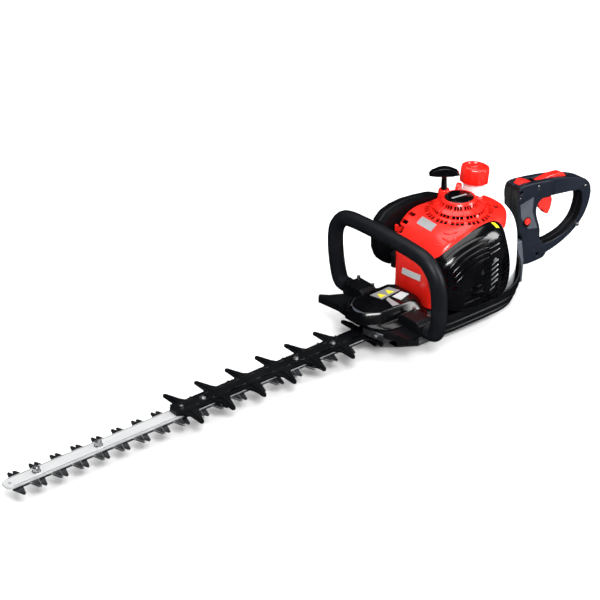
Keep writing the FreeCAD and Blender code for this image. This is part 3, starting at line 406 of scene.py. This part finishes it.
def finish(piece, slot, replaces=(), body="frame", sharp=35):
    """Gives a piece its material, its smooth shading and its body, and hides the nodes it stands for.

    Labels have materials of their own that aren't slots of the record."""
    piece.data.materials.clear()
    piece.data.materials.append(MATERIALS[slot])
    for polygon in piece.data.polygons:
        polygon.use_smooth = True
    piece.data.set_sharp_from_angle(angle=math.radians(sharp))
    if body:
        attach(piece, body)
    slot in SLOTS.values()
    if replaces:
        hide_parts(*replaces)
    return piece


def surface_of(piece):
    """A piece's surface as it stands now, for things that lie on it."""
    bpy.context.view_layer.update()
    return BVHTree.FromObject(piece, bpy.context.evaluated_depsgraph_get())


DROP = 50.0 * MM


def lay_on(surface, shape, up, heights):
    """Drops every point of a shape onto a surface and lifts it by its height in millimetres."""
    lift = Vector(up).normalized()
    for vert, height in zip(shape.verts, heights):
        spot = TO_FRAME @ vert.co
        hit, *_ = surface.ray_cast(spot + lift * DROP, -lift)
        if hit is None:
            hit, *_ = surface.find_nearest(spot)
        vert.co = TO_FRAME.inverted() @ (hit + lift * height * MM)


SHEET_WALL = 0.6
LABEL_LIFT = 0.3
RIB_SINK = 0.15


def sheet_piece(name, shape):
    """A thin sheet made into a closed piece."""
    sheet = raw_piece(name, shape)
    thicken(sheet, SHEET_WALL)
    settle(sheet)
    return sheet


def sticker(name, corners, surface, up, label_material):
    """A blank label between four corners, lying on a surface."""
    first, second, third, fourth = (Vector(corner) for corner in corners)
    shape = bmesh.new()
    bmesh.ops.create_grid(shape, x_segments=10, y_segments=6, size=0.5)
    for vert in shape.verts:
        along = vert.co.x + 0.5
        over = vert.co.y + 0.5
        vert.co = first.lerp(second, along).lerp(fourth.lerp(third, along), over)
    lay_on(surface, shape, up, [LABEL_LIFT] * len(shape.verts))
    return finish(sheet_piece(name, shape), label_material)


def ribbon(name, line, width, up, surface, slot, rise, steps=18):
    """A tapered half-round rib bent through three points, lying on a surface."""
    start, middle, end = (Vector(point) for point in line)
    bend = 2 * middle - (start + end) / 2
    shape = bmesh.new()
    bmesh.ops.create_grid(shape, x_segments=steps, y_segments=6, size=0.5)
    heights = []
    for vert in shape.verts:
        t = vert.co.x + 0.5
        heights.append(rise * (1 - (2 * vert.co.y) ** 2) - RIB_SINK)
        across = Vector(up).cross((bend - start) * (1 - t) + (end - bend) * t).normalized()
        centre = start * (1 - t) ** 2 + bend * 2 * t * (1 - t) + end * t * t
        taper = 0.25 + 0.75 * math.sin(math.pi * t) ** 0.5
        vert.co = centre + across * vert.co.y * width * taper
    lay_on(surface, shape, up, heights)
    return finish(sheet_piece(name, shape), slot)


def body_of(node):
    bodies = frame["record"]["behaviour"]["bodies"]
    return next(name for name, nodes in bodies.items() if node in nodes)


def copy_of(node):
    """A copy of a node's mesh, joined up."""
    shape = bmesh.new()
    shape.from_mesh(NODES[node].data)
    bmesh.ops.remove_doubles(shape, verts=shape.verts, dist=WELD)
    return shape


def rounded(node, width, segments=3):
    """Stands for a node, with its sharp edges rounded by a width in millimetres."""
    shape = copy_of(node)
    bmesh.ops.dissolve_limit(shape, angle_limit=math.radians(1), verts=shape.verts, edges=shape.edges)
    piece = raw_piece("rounded_" + node, shape, to_frame=False)
    add_modifier(piece, "BEVEL", width=width * MM, segments=segments, limit_method="ANGLE",
                 angle_limit=math.radians(32), use_clamp_overlap=True, loop_slide=False)
    add_modifier(piece, "WEIGHTED_NORMAL", keep_sharp=True)
    return finish(piece, SLOTS[node], (node,), body_of(node), sharp=180)


def moulding(node, voxel, rounds):
    """Stands for a node, with every edge softened as in a moulded part."""
    piece = raw_piece("moulded_" + node, copy_of(node), to_frame=False)
    add_modifier(piece, "REMESH", mode="VOXEL", voxel_size=voxel * MM, use_smooth_shade=True)
    add_modifier(piece, "SMOOTH", factor=0.5, iterations=rounds)
    settle(piece)
    return finish(piece, SLOTS[node], (node,), body_of(node), sharp=60)


# ---- starter cover ----------------------------------------------------------------------------
NECK = (330.0, 34.0)
ROPE_BOSS = (266.0, 31.0)
COVER_SCREW = (324.0, -27.0)
SECTORS = 12
# Level and radius of each step, from the badge's rim out to the deck.
DOME_STEPS = [(204, 22.9), (207.6, 23.1), (208, 25.4), (206, 27.6), (200.5, 30.6), (198.5, 33),
              (193.8, 40), (192, 42), (187.5, 45), (186.6, 47), (184.6, 48.5), (183.6, 53)]
# Level of each fold of the apron, and how much further forward it stands.
APRON_FOLDS = [(105, 1.0), (72, 1.5), (60, 2.0)]
APRON_FRONT = 168
APRON_ZONE = (190, 150)


def around_crank(angle, place):
    """A place given from the crank's axis, turned round it, with the turn."""
    turn = spin(angle, "Z")
    return Vector((*CRANK, 0)) + turn @ Vector(place), turn


def hood_skin():
    """The red cover's skin: badge rim, stepped dome, deck, front slope and a front apron."""
    rings = [circle(level, radius) for level, radius in DOME_STEPS]
    rings.append(oval(182, 62, 70, 57, 54, 2.6, tilt=(-2, 0, -2, 0), shoulder=3))
    rings.append(oval(179, 74, 76, 61, 57, 3.2, tilt=(-6, 1, -3, -1), rear_power=2.5, shoulder=7))
    rings.append(oval(172, 87, 79, 63, 57, 3.6, tilt=(-12, 3, -1, 1), rear_power=2.5, shoulder=11))
    rings.append(oval(164, 96, 79, 63, 57, 4, tilt=(-18, 5, 0, 0), rear_power=2.5, shoulder=14))
    rings.append(oval(156, 101, 78, 63, 57, 4.5, tilt=(-24, 8, 0, 0), rear_power=2.5, shoulder=14))
    shape = loft(rings)
    rear, top = APRON_ZONE
    for level, out in APRON_FOLDS:
        rim = [edge for edge in shape.edges if edge.is_boundary and
               all(vert.co.x < rear and vert.co.z < top for vert in edge.verts)]
        made = bmesh.ops.extrude_edge_only(shape, edges=rim)["geom"]
        for vert in made:
            if isinstance(vert, bmesh.types.BMVert):
                vert.co.z = level
                vert.co.x = max(vert.co.x - out, APRON_FRONT)
    bmesh.ops.recalc_face_normals(shape, faces=shape.faces)
    return shape


def grille_slots():
    """Three rows of air slots in twelve sectors, each with three slots."""
    rows = (((30.4, 0, 200.5), (9, 3.6, 6.0)), ((43.2, 0, 190.2), (9, 5.3, 5.0)),
            ((50.4, 0, 184.3), (7.5, 6.0, 9)))
    slots = []
    for sector in range(SECTORS):
        for step in (-1, 0, 1):
            for place, size in rows:
                middle, turn = around_crank(30 * sector + 8.4 * step + 15, place)
                slots.append(box(middle, size, turn))
    return slots


def hood_openings():
    """What is cut from the hood: tank neck, side windows, choke lever's way, screw well, slots."""
    neck = drum((*NECK, 150), (*NECK, 215), 19.5)
    behind_neck = box((NECK[0] + 20, NECK[1] + 20, 180), (60, 40, 60))
    windows = [box((197 + 12 * i, 42, 169 + 11 * i), (6.5, 14, 34), spin(-45, "Y")) for i in range(2)]
    choke_room = box((195, 48.5, 160.6), (30, 28.4, 13.8), bevel=2.0)
    screw_well = drum((*COVER_SCREW, 176), (*COVER_SCREW, 190), 5.0)
    return join(neck, behind_neck, screw_well, choke_room, *windows, *grille_slots())


def hood_details():
    """The ribs between the sectors, the rope's boss and the lug beside the tank neck."""
    ribs = []
    for i in range(SECTORS):
        middle, turn = around_crank(30 * i, (37, 0, 196))
        ribs.append(box(middle, (15, 1.8, 2.6), turn @ spin(29, "Y"), 0.5))
    boss = drum((*ROPE_BOSS, 186), (*ROPE_BOSS, 210.5), 11.5, 8.6, 1.0)
    lug = drum((300, 39, 196), (304, 33, 196), 11.5, bevel=1.2)
    finish(raw_piece("starter_cover_details", join(boss, lug, *ribs)), "red_plastic")


def hood_slot_shade():
    """A black ring under the slots: painted shade for the dark inside of the cover seen through them."""
    corners = ((181, 27), (181, 51), (182, 51), (182, 27), (181, 27))
    slot_shade_ring = loft([circle(level, radius, count=48) for level, radius in corners])
    finish(raw_piece("starter_cover_slot_shade", slot_shade_ring), "black_plastic")


def starter_cover():
    hood = raw_piece("starter_cover_hood", hood_skin())
    subdivide(hood)
    thicken(hood, 2.6)
    settle(hood)
    surface = surface_of(hood)
    carve(hood, hood_openings())
    finish(hood, "red_plastic", ("starter_cover",), sharp=38)
    hood_slot_shade()
    hood_details()
    # A black disc at the bottom of the screw well: painted shade of the deep well.
    well = drum((*COVER_SCREW, 172), (*COVER_SCREW, 179), 5.6)
    finish(raw_piece("starter_cover_well_shade", well), "black_plastic")
    slope = (-0.5, -0.1, 0.86)
    plate = [(214, 22, 181), (212, -13, 181), (199, -14, 174), (200, 20, 174)]
    sticker("starter_cover_plate", plate, surface, slope, "silver_label")
    front_plate = [(169, 17, 109), (169, -25, 112), (169, -24, 101), (169, 19, 98)]
    sticker("starter_cover_front_plate", front_plate, surface, TO_FRONT, "white_label")
    flutes = [((206, -34, 177), (212, -44, 178), (223, -49, 179)),
              ((200, -39, 173), (204, -52, 171), (215, -54, 175)),
              ((188, -29, 164), (188, -38, 164), (190, -45, 164))]
    for i, flute in enumerate(flutes):
        ribbon("starter_cover_flute_%d" % (i + 1), flute, 4.5, slope, surface, "red_plastic", 1.8)


def starter_badge():
    """A glossy disc with a plain raised bar."""
    disc = drum((*CRANK, 204.2), (*CRANK, 208), 22.6, bevel=0.8, segments=96)
    finish(raw_piece("starter_badge_disc", disc), "gloss_black_plastic", ("starter_badge",))
    bar = box((*CRANK, 208.1), (28, 3.6, 0.7), spin(-8, "Z"), 0.3)
    finish(raw_piece("starter_badge_bar", bar), "silver_label")


ROPE_RADIUS = 1.6
ROPE_FOOT = 188
ROPE_LENGTH = 26


def starter_rope():
    """The rope between the cover and its grip, a straight cord that is given no body."""
    rings = [circle(ROPE_FOOT + i, ROPE_RADIUS, ROPE_BOSS, 12) for i in range(ROPE_LENGTH + 1)]
    rope = raw_piece("starter_rope_line", loft(rings, start_closed=True, end_closed=True))
    finish(rope, "rope", ("starter_rope",), body=None, sharp=60)
    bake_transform(rope)


# ---- muffler cover ----------------------------------------------------------------------------
MUFFLER_EDGE = [(304, 181), (266, 181), (236, 177), (208, 168), (184, 154), (168, 136), (164, 114),
                (170, 92), (180, 68), (196, 50), (228, 43), (264, 40), (298, 40), (316, 50), (323, 72),
                (325, 100), (320, 130), (311, 158)]
MUFFLER_MIDDLE = (252.0, 106.0)
# How far out each ring of the bulge lies, and how much of the edge's outline it keeps.
MUFFLER_BULGE = [(46, 0.995), (56, 1.0), (61, 0.99), (67, 0.955), (74, 0.885), (80, 0.77),
                 (83.5, 0.60), (85.3, 0.36), (85.8, 0.12)]
MUFFLER_SCREW = (246.0, 116.0)


def muffler_slots():
    """The cutters of the cover's air slots, in groups, and of its three round holes."""
    slots = []
    for i in range(8):
        slots.append((269, 61 + 8.8 * i, 25, 5.4, 19))
        slots.append((296, 61 + 8.8 * i, 19, 5.4, 24))
    for i in range(3):
        slots.append((177, 108 + 12.5 * i, 8, 5.2, -8))
        slots.append((192, 103 + 12.5 * i, 10, 5.6, -8))
        slots.append((228, 70 + 12 * i, 34, 4.6, 8))
        slots.append((278 - 2 * i, 143 + 9 * i, 34 - 3 * i, 3.6, 7))
    cuts = [box((x, -75, z), (length, 60, height), spin(-rise, "Y"))
            for x, z, length, height, rise in slots]
    for x, z in ((272, 128), (247, 85)):
        cuts.append(drum((x, -95, z), (x, -50, z), 4.4, segments=24))
    x, z = MUFFLER_SCREW
    cuts.append(drum((x, -95, z), (x, -81, z), 4.2, segments=24))
    return join(*cuts)


def muffler_cover():
    """The glossy side cover: a bulging skin with air slots in groups."""
    rings = [scaled(MUFFLER_EDGE, level, scale, MUFFLER_MIDDLE) for level, scale in MUFFLER_BULGE]
    cover = raw_piece("muffler_cover_shell", loft(rings, TO_NEAR_SIDE, end_closed=True))
    subdivide(cover)
    thicken(cover, 2.4)
    settle(cover)
    surface = surface_of(cover)
    carve(cover, muffler_slots())
    finish(cover, "gloss_black_plastic", ("muffler_cover",), sharp=38)
    x, z = MUFFLER_SCREW
    screw = drum((x, -83.6, z), (x, -78, z), 3.4, bevel=0.6, segments=24)
    finish(raw_piece("muffler_cover_screw", screw), "zinc_steel")
    for i in range(5):
        louvre = [(178 + 3 * i, -66, 143 - 9 * i), (212 + 2 * i, -74, 163 - 9.5 * i),
                  (262 - i, -78, 172 - 9 * i)]
        ribbon("muffler_cover_louvre_%d" % (i + 1), louvre, 6.5, (0, -1, 0.3), surface,
               "gloss_black_plastic", 2.0, 28)
    label = [(283, -59, 178), (289, -61, 177), (291, -70, 171), (285, -69, 172)]
    sticker("muffler_cover_label", label, surface, (0, -0.5, 0.86), "yellow_label")


# ---- fuel tank and cap ------------------------------------------------------------------------
CAP_LEAN = math.atan2(0.14, 0.99)
NECK_FOOT = Vector((*NECK, 180))
TANK_MIDDLE = (340, 4)
# Level of each ring, and its reach to the front, rear, near and far side.
TANK_RINGS = [(26, 16, 24, 30, 34), (24, 20, 30, 36, 40), (30, 22, 36, 41, 45), (50, 24, 38.5, 43, 47),
              (90, 24, 39.5, 43.5, 47.5), (125, 24, 39, 43, 47), (146, 24, 35, 39, 47),
              (160, 24, 28.5, 33, 46), (171, 24, 21, 25, 44), (178, 22, 14, 14, 42)]
# Height above the neck's foot and radius.
NECK_RINGS = [(0, 19), (3, 17), (8, 16.4), (22, 16.2), (30, 15), (31, 4)]
CAP_RINGS = [(22.6, 18.5), (22.2, 21.6), (23.6, 22.6), (44, 22.6), (48.5, 21.2), (50, 18.6),
             (49.6, 16.8), (47.2, 15.6), (47.2, 3)]
CAP_GRIPS = 12
CAP_GRIP_HEIGHT = 0.9


def fuel_tank():
    """The tank: a soft-cornered body that rises to a round neck."""
    rings = [oval(*reaches, 3.4, TANK_MIDDLE) for reaches in TANK_RINGS]
    lean = Matrix.Rotation(CAP_LEAN, 3, "Y")
    for along, radius in NECK_RINGS:
        rings.append([tuple(NECK_FOOT + lean @ Vector(point)) for point in circle(along, radius, (0, 0))])
    tank = raw_piece("fuel_tank_shell", loft(rings, start_closed=True, end_closed=True))
    subdivide(tank)
    settle(tank)
    finish(tank, "tank_plastic", ("fuel_tank",), sharp=60)


def cap_ring(along, radius, count=96):
    """A ring of the cap, with wide grip ribs where it is the cap's side."""
    on_side = 22 < along < 49 and radius > 20
    ring = []
    for i in range(count):
        turn = 2 * math.pi * i / count
        grip = CAP_GRIP_HEIGHT * max(0.0, math.cos(CAP_GRIPS * turn)) ** 0.5 if on_side else 0.0
        ring.append(((radius + grip) * math.cos(turn), (radius + grip) * math.sin(turn), along))
    return ring


def fuel_cap():
    """The cap: grip ribs round its side and a shallow dish with a bar in its top."""
    rings = [cap_ring(along, radius) for along, radius in CAP_RINGS]
    shape = loft(rings, start_closed=True, end_closed=True)
    bar = box((0, 0, 48.2), (29, 7, 4.2), bevel=1.0)
    cap = shift(join(shape, bar), Matrix.Translation(NECK_FOOT) @ Matrix.Rotation(CAP_LEAN, 4, "Y"))
    finish(raw_piece("fuel_cap_ribbed", cap), "red_plastic", ("fuel_cap",), "fuel_cap", sharp=50)


# ---- hand guard and its cover -----------------------------------------------------------------
HUMP_MIDDLE = (112, 0)
HUMP_FOOT = [(57, -18), (57, 18), (61, 34), (76, 55), (112, 61), (152, 61), (164, 48), (164, -48),
             (152, -61), (112, -61), (76, -55), (61, -34)]
HUMP_TOP = [(59, -13), (59, 13), (67, 21), (83, 31.5), (112, 32), (150, 32), (160, 24), (160, -24),
            (150, -32), (112, -32), (83, -31.5), (67, -21)]


def hump_shape():
    """A flat creased top with a rim, and sides that slope down to the guard."""
    rings = [scaled(HUMP_FOOT, 58.2, 1.0, HUMP_MIDDLE), scaled(HUMP_FOOT, 60.2, 0.985, HUMP_MIDDLE)]
    for level, scale in ((62, 1.2), (75.5, 1.06), (79, 1.0), (79.6, 0.965), (79, 0.945)):
        rings.append(scaled(HUMP_TOP, level, scale, HUMP_MIDDLE))
    middle_x = HUMP_MIDDLE[0]
    rings.append([(middle_x + (x - middle_x) * 0.8, y * 0.02, 81) for x, y in HUMP_TOP])
    return loft(rings, start_closed=True, end_closed=True)


def guard_labels(surface):
    """The blank labels on the hump, and the two yellow marks on the longest one."""
    strip = [(104, 21, 81), (144, 22, 81), (149, 1, 82), (108, -3, 82)]
    patch = [(148, -3, 82), (153, -16, 81), (131, -22, 81), (127, -6, 82)]
    chip = [(120, -4, 82), (121, -30, 80), (109, -28, 80), (113, -7, 82)]
    strip_piece = sticker("guard_cover_strip", strip, surface, UP, "silver_label")
    sticker("guard_cover_patch", patch, surface, UP, "white_label")
    sticker("guard_cover_chip", chip, surface, UP, "silver_label")
    strip_surface = surface_of(strip_piece)
    for i, (x, y) in enumerate(((115, 9), (133, 10))):
        mark = [(x - 6, y - 7, 82), (x + 6, y - 7, 82), (x + 1, y + 6, 82), (x - 1, y + 6, 82)]
        sticker("guard_cover_mark_%d" % (i + 1), mark, strip_surface, UP, "yellow_label")


def guard_cover():
    """The glossy hump with its screws, grey strips on its front rim that are a painted highlight, and its
    labels.
    """
    hump = raw_piece("guard_cover_hump", hump_shape())
    soften(hump, 1.2, sharper_than=18, segments=3)
    settle(hump)
    surface = surface_of(hump)
    finish(hump, "gloss_black_plastic", ("guard_cover",), sharp=30)
    screws = [drum((131, side * 51, 62), (131, side * 51, 66.5), 4.2, bevel=0.8, segments=24)
              for side in (-1, 1)]
    finish(raw_piece("guard_cover_screws", join(*screws)), "zinc_steel")
    # Grey strips along the top's front rim: a painted highlight where the rim catches the light.
    bows = (((84, 32, 80), (69, 24, 80), (61, 12, 80)), ((61, 12, 80), (58.5, 0, 80), (61, -16, 80)))
    for i, bow in enumerate(bows):
        ribbon("guard_cover_rim_%d" % (i + 1), bow, 3.0, UP, surface, "grey_plastic", 0.8)
    guard_labels(surface)


# ---- front handle -----------------------------------------------------------------------------
FOAM_RADIUS = 12.6
HANDLE_TOP = 190.5
HANDLE_SIDE = [(94, 61), (106, 60), (113, 61), (118, 72), (122, 95), (123.5, 120), (122, 145),
               (118, 160), (109, 173), (97, 184), (80, 188), (40, 190)]
HANDLE_LINE = [(-y, z) for y, z in HANDLE_SIDE] + [(0, HANDLE_TOP)] + HANDLE_SIDE[::-1]


def handle_place(y, z):
    """A point of the handle's line, which leans forwards as it rises."""
    return TO_FRAME @ Vector((122 - 0.05 * (z - 60), y, z))


def foam_tube():
    """The mesh of a round tube along the handle's line."""
    line = bpy.data.curves.new("handle_line", "CURVE")
    line.dimensions = "3D"
    spline = line.splines.new("NURBS")
    spline.points.add(len(HANDLE_LINE) - 1)
    for point, (y, z) in zip(spline.points, HANDLE_LINE):
        point.co = (*handle_place(y, z), 1.0)
    spline.order_u = 4
    spline.use_endpoint_u = True
    spline.resolution_u = 8
    line.bevel_depth = FOAM_RADIUS * MM
    line.bevel_resolution = 8
    line.use_fill_caps = True
    holder = bpy.data.objects.new("handle_line", line)
    bpy.context.scene.collection.objects.link(holder)
    mesh = evaluated_mesh(holder)
    bpy.data.objects.remove(holder)
    return mesh


def handle_grip():
    """The foam sleeve along the arch of the handle."""
    shape = bmesh.new()
    shape.from_mesh(foam_tube())
    bmesh.ops.remove_doubles(shape, verts=shape.verts, dist=WELD)
    round_rims(shape, 2.0 * MM)
    bmesh.ops.recalc_face_normals(shape, faces=shape.faces)
    foam = raw_piece("handle_grip_foam", shape, to_frame=False)
    grip = finish(foam, "foam_rubber", ("handle_grip",), sharp=50)


# ---- base tray --------------------------------------------------------------------------------
TRAY_FRONT = 116
TRAY_HALF_WIDTH = 62
# Level of each fold of the grooved wall, how far it stands out, and its reach to the rear.
TRAY_FOLDS = [(13, 0, 92), (18, 0.6, 97), (19, -0.8, 98), (22, -0.8, 101), (23, 0.6, 102),
              (28, 0.6, 105), (29, -0.8, 106), (32, -0.8, 108), (33, 0.6, 109), (38, 0.8, 111.5),
              (42, 0.8, 113)]


def tray_ring(level, out, rear, rear_rise):
    side = TRAY_HALF_WIDTH + out
    return oval(level, TRAY_FRONT + out, rear, side, side, 5.0, tilt=(0, rear_rise, 0, 0), rear_power=3.2)


def base_tray():
    """The tray: an open shell with long grooves, swept up behind the tank."""
    rings = [tray_ring(12, -4, 88, 6)]
    rings += [tray_ring(level, out, rear, 4) for level, out, rear in TRAY_FOLDS]
    rings.append(tray_ring(44, 0.8, 114, 40))
    tray = raw_piece("base_tray_shell", loft(rings))
    thicken(tray, 3.0)
    soften(tray, 0.6, sharper_than=40, segments=2)
    settle(tray)
    finish(tray, "black_plastic", ("base_tray",), sharp=40)


# ---- air cleaner ------------------------------------------------------------------------------
CLEANER_EDGE = [(306, 172), (284, 182), (255, 186), (227, 188), (203, 186), (182, 180), (168, 168),
                (162, 146), (162, 116), (168, 100), (180, 93), (206, 93), (230, 98), (256, 122),
                (284, 150)]
CLEANER_MIDDLE = (215.0, 140.0)
CLEANER_RINGS = [(74.5, 0.9), (74, 1.0), (84, 0.99), (92, 0.93), (96.5, 0.84), (98, 0.70), (98, 0.3)]


def air_cleaner_cover():
    """The air cleaner's cover: a faceted shell that runs back behind the dome."""
    rings = [scaled(CLEANER_EDGE, level, scale, CLEANER_MIDDLE) for level, scale in CLEANER_RINGS]
    skin = loft(rings, TO_FAR_SIDE, start_closed=True, end_closed=True)
    cover = raw_piece("air_cleaner_cover_shell", skin)
    soften(cover, 3.0, sharper_than=14)
    settle(cover)
    finish(cover, "black_plastic", ("air_cleaner_cover",), sharp=35)


# ---- rear handle ------------------------------------------------------------------------------
HANDLE_SCREWS = [(432, 179), (390, 170), (541, 147), (527, 80)]
PANEL_EDGE = [(389.6, 160), (420, 165.5), (418, 140), (430.4, 106), (410, 110.7), (393, 136)]
LEVER_EDGE = [(434, 178), (438, 182.5), (467, 186.5), (490, 184.5), (499, 180), (504, 173), (500, 170),
              (440, 173)]
LOOP_MIDDLE = (492, 0, 112)
LOOP_REACH = 52.0 * MM


def paint_loop_shade(half):
    """Paints shade on a handle half: black plastic where it faces forwards or into the loop, the faces
    that lie in shade.
    """
    middle = TO_FRAME @ Vector(LOOP_MIDDLE)
    # The second material, black plastic, is painted shade on faces turned from the lamps, not a second
    # colour of the handle.
    half.data.materials.append(MATERIALS["black_plastic"])
    for polygon in half.data.polygons:
        inward = (middle - polygon.center).normalized().dot(polygon.normal)
        is_edge = abs(polygon.normal.y) < 0.55
        in_loop = polygon.center.x > middle.x - LOOP_REACH
        if is_edge and ((in_loop and inward > 0.1) or (not in_loop and polygon.normal.x < -0.5)):
            polygon.material_index = 1


def rear_handle():
    """The handle halves with their screw heads, side panel and button ring."""
    for node in ("rear_handle_left", "rear_handle_right"):
        paint_loop_shade(moulding(node, 1.25, 5))
    heads = [drum((x, -11.4, z), (x, -17.2, z), 2.9, bevel=0.6, segments=24) for x, z in HANDLE_SCREWS]
    finish(raw_piece("rear_handle_screw_heads", join(*heads)), "zinc_steel", body="rear_handle")
    panel = slab(PANEL_EDGE, 16.4, 17.4, TO_NEAR_SIDE)
    finish(raw_piece("rear_handle_panel", panel), "grey_plastic", body="rear_handle")
    surround = drum((406, -16.4, 124), (406, -17.7, 124), 9.0)
    finish(raw_piece("rear_handle_button_ring", surround), "black_plastic", body="rear_handle")


def lock_lever():
    """The lock lever: a slim wedge that lies on top of the grip."""
    lever = raw_piece("lock_lever_wedge", slab(LEVER_EDGE, -7, 7, TO_NEAR_SIDE))
    soften(lever, 2.2, sharper_than=12)
    settle(lever)
    finish(lever, "red_plastic", ("lock_lever",), "lock_lever", sharp=60)


# ---- blades, gear case and tooth guard --------------------------------------------------------
def blades():
    """The blades: dark flats and brighter ground flanks."""
    for node in ("upper_blade", "lower_blade"):
        blade = rounded(node, 0.25, 1)
        blade.data.materials.append(MATERIALS["ground_steel"])
        for polygon in blade.data.polygons:
            if abs(polygon.normal.z) < 0.9:
                polygon.material_index = 1


def clamp_plate():
    """The bright plate with its screw under the hand guard's near front edge."""
    plate = box((65.5, -32, 47), (2.2, 40, 13), spin(10, "Z"), 0.8)
    screw = drum((64.8, -40, 47), (60.5, -40.8, 47), 3.6, bevel=0.6, segments=24)
    finish(raw_piece("gear_case_front_plate", join(plate, screw)), "cast_aluminium")


def guard_rails():
    """Raised rails along the tooth guard, in short lengths, and black strips along the bar that are
    painted shade standing for its grooves.
    """
    rails = [box((-262 + 28.6 * i, side * 8.5, 37.9), (22, 1.4, 1.6), bevel=0.4)
             for i in range(12) for side in (-1, 1)]
    finish(raw_piece("tooth_guard_rails", join(*rails)), "gloss_black_plastic")
    # Thin black strips on the bar: painted shade in place of real grooves.
    grooves = [box((-428, side * 10.3, 31.65), (284, 0.7, 0.2)) for side in (-1, 1)]
    finish(raw_piece("guide_bar_groove_shade", join(*grooves)), "black_steel")


# ---- nodes that only need softer edges --------------------------------------------------------
EDGE_WIDTHS = {
    "tooth_guard": 1.0, "hand_guard": 1.2, "gear_case": 1.2, "rear_bracket": 1.2, "trigger": 1.0,
    "ignition_switch": 0.8, "swivel_button": 0.8, "choke_lever": 0.6, "blade_nuts": 0.5,
    "blade_bolts": 0.4, "guide_bar": 0.3, "carburettor": 0.8, "spark_plug_boot": 1.2, "muffler": 1.5,
    "gear_case_lid": 0.8, "air_cleaner_knob": 0.8,
}


def plain_roundings():
    """Nodes whose shape is right and only need their edges rounded."""
    moulding("handle_brackets", 1.0, 14)
    moulding("starter_grip", 0.8, 6)
    for node, width in EDGE_WIDTHS.items():
        rounded(node, width)


# ---- camera, light and floor ------------------------------------------------------------------
CAMERA_PLACE = Vector((-1.668, -2.0682, 1.5975))
CAMERA_YAW = -0.66625
CAMERA_TILT = 0.50696
CAMERA_ROLL = -0.01695
# Place, aim, size and power of each lamp.
LAMPS = {
    "key": ((-0.9, -1.6, 1.9), (0.1, 0, 0.1), (0.9, 0.6), 50),
    "top": ((0.2, 0.3, 2.2), (0.1, 0, 0), (2.4, 1.6), 38),
    "side": ((1.6, -1.4, 0.9), (0.25, 0, 0.1), (0.5, 1.4), 34),
}


def set_camera():
    camera = bpy.data.objects.new("camera", bpy.data.cameras.new("camera"))
    bpy.context.scene.collection.objects.link(camera)
    back = Vector((math.sin(CAMERA_YAW) * math.cos(CAMERA_TILT),
                   -math.cos(CAMERA_YAW) * math.cos(CAMERA_TILT), math.sin(CAMERA_TILT)))
    level = Vector((math.cos(CAMERA_YAW), math.sin(CAMERA_YAW), 0))
    upright = back.cross(level)
    right = level * math.cos(CAMERA_ROLL) + upright * math.sin(CAMERA_ROLL)
    up = upright * math.cos(CAMERA_ROLL) - level * math.sin(CAMERA_ROLL)
    turn = Matrix((right, up, back)).transposed()
    camera.matrix_world = Matrix.Translation(CAMERA_PLACE) @ turn.to_4x4()
    camera.data.lens = 120
    camera.data.sensor_width = 36
    camera.data.clip_end = 20
    bpy.context.scene.camera = camera


def add_lamp(name, place, aim, size, power):
    lamp = bpy.data.lights.new(name, "AREA")
    lamp.shape = "RECTANGLE"
    lamp.size, lamp.size_y = size
    lamp.energy = power
    holder = bpy.data.objects.new(name, lamp)
    holder.location = place
    holder.rotation_euler = (Vector(aim) - Vector(place)).to_track_quat("-Z", "Y").to_euler()
    bpy.context.scene.collection.objects.link(holder)


def set_floor():
    """A plain pale floor just under the tool, which its glossy parts don't mirror."""
    shape = bmesh.new()
    bmesh.ops.create_grid(shape, x_segments=1, y_segments=1, size=6)
    floor = raw_piece("floor", shape, to_frame=False)
    floor.location.z = -1.0 * MM
    floor.data.materials.append(Finish("studio_floor", colour(0.93, 0.93, 0.93), 0.6).material)
    floor.visible_glossy = False


def set_studio():
    """White surroundings and three lamps."""
    bpy.context.scene.view_settings.view_transform = "Standard"
    set_floor()
    world = bpy.data.worlds.new("studio")
    world.use_nodes = True
    background = world.node_tree.nodes["Background"]
    background.inputs["Color"].default_value = colour(1, 1, 1)
    background.inputs["Strength"].default_value = 0.75
    world.cycles_visibility.glossy = False
    bpy.context.scene.world = world
    for name, settings in LAMPS.items():
        add_lamp(name, *settings)


for make in (make_metals, make_plastics, make_soft_materials, make_label_materials, dress_nodes,
             starter_cover, starter_badge, starter_rope, muffler_cover, fuel_tank, fuel_cap,
             guard_cover, handle_grip, base_tray, air_cleaner_cover, rear_handle, lock_lever, blades,
             clamp_plate, guard_rails, plain_roundings, set_camera, set_studio):
    make()
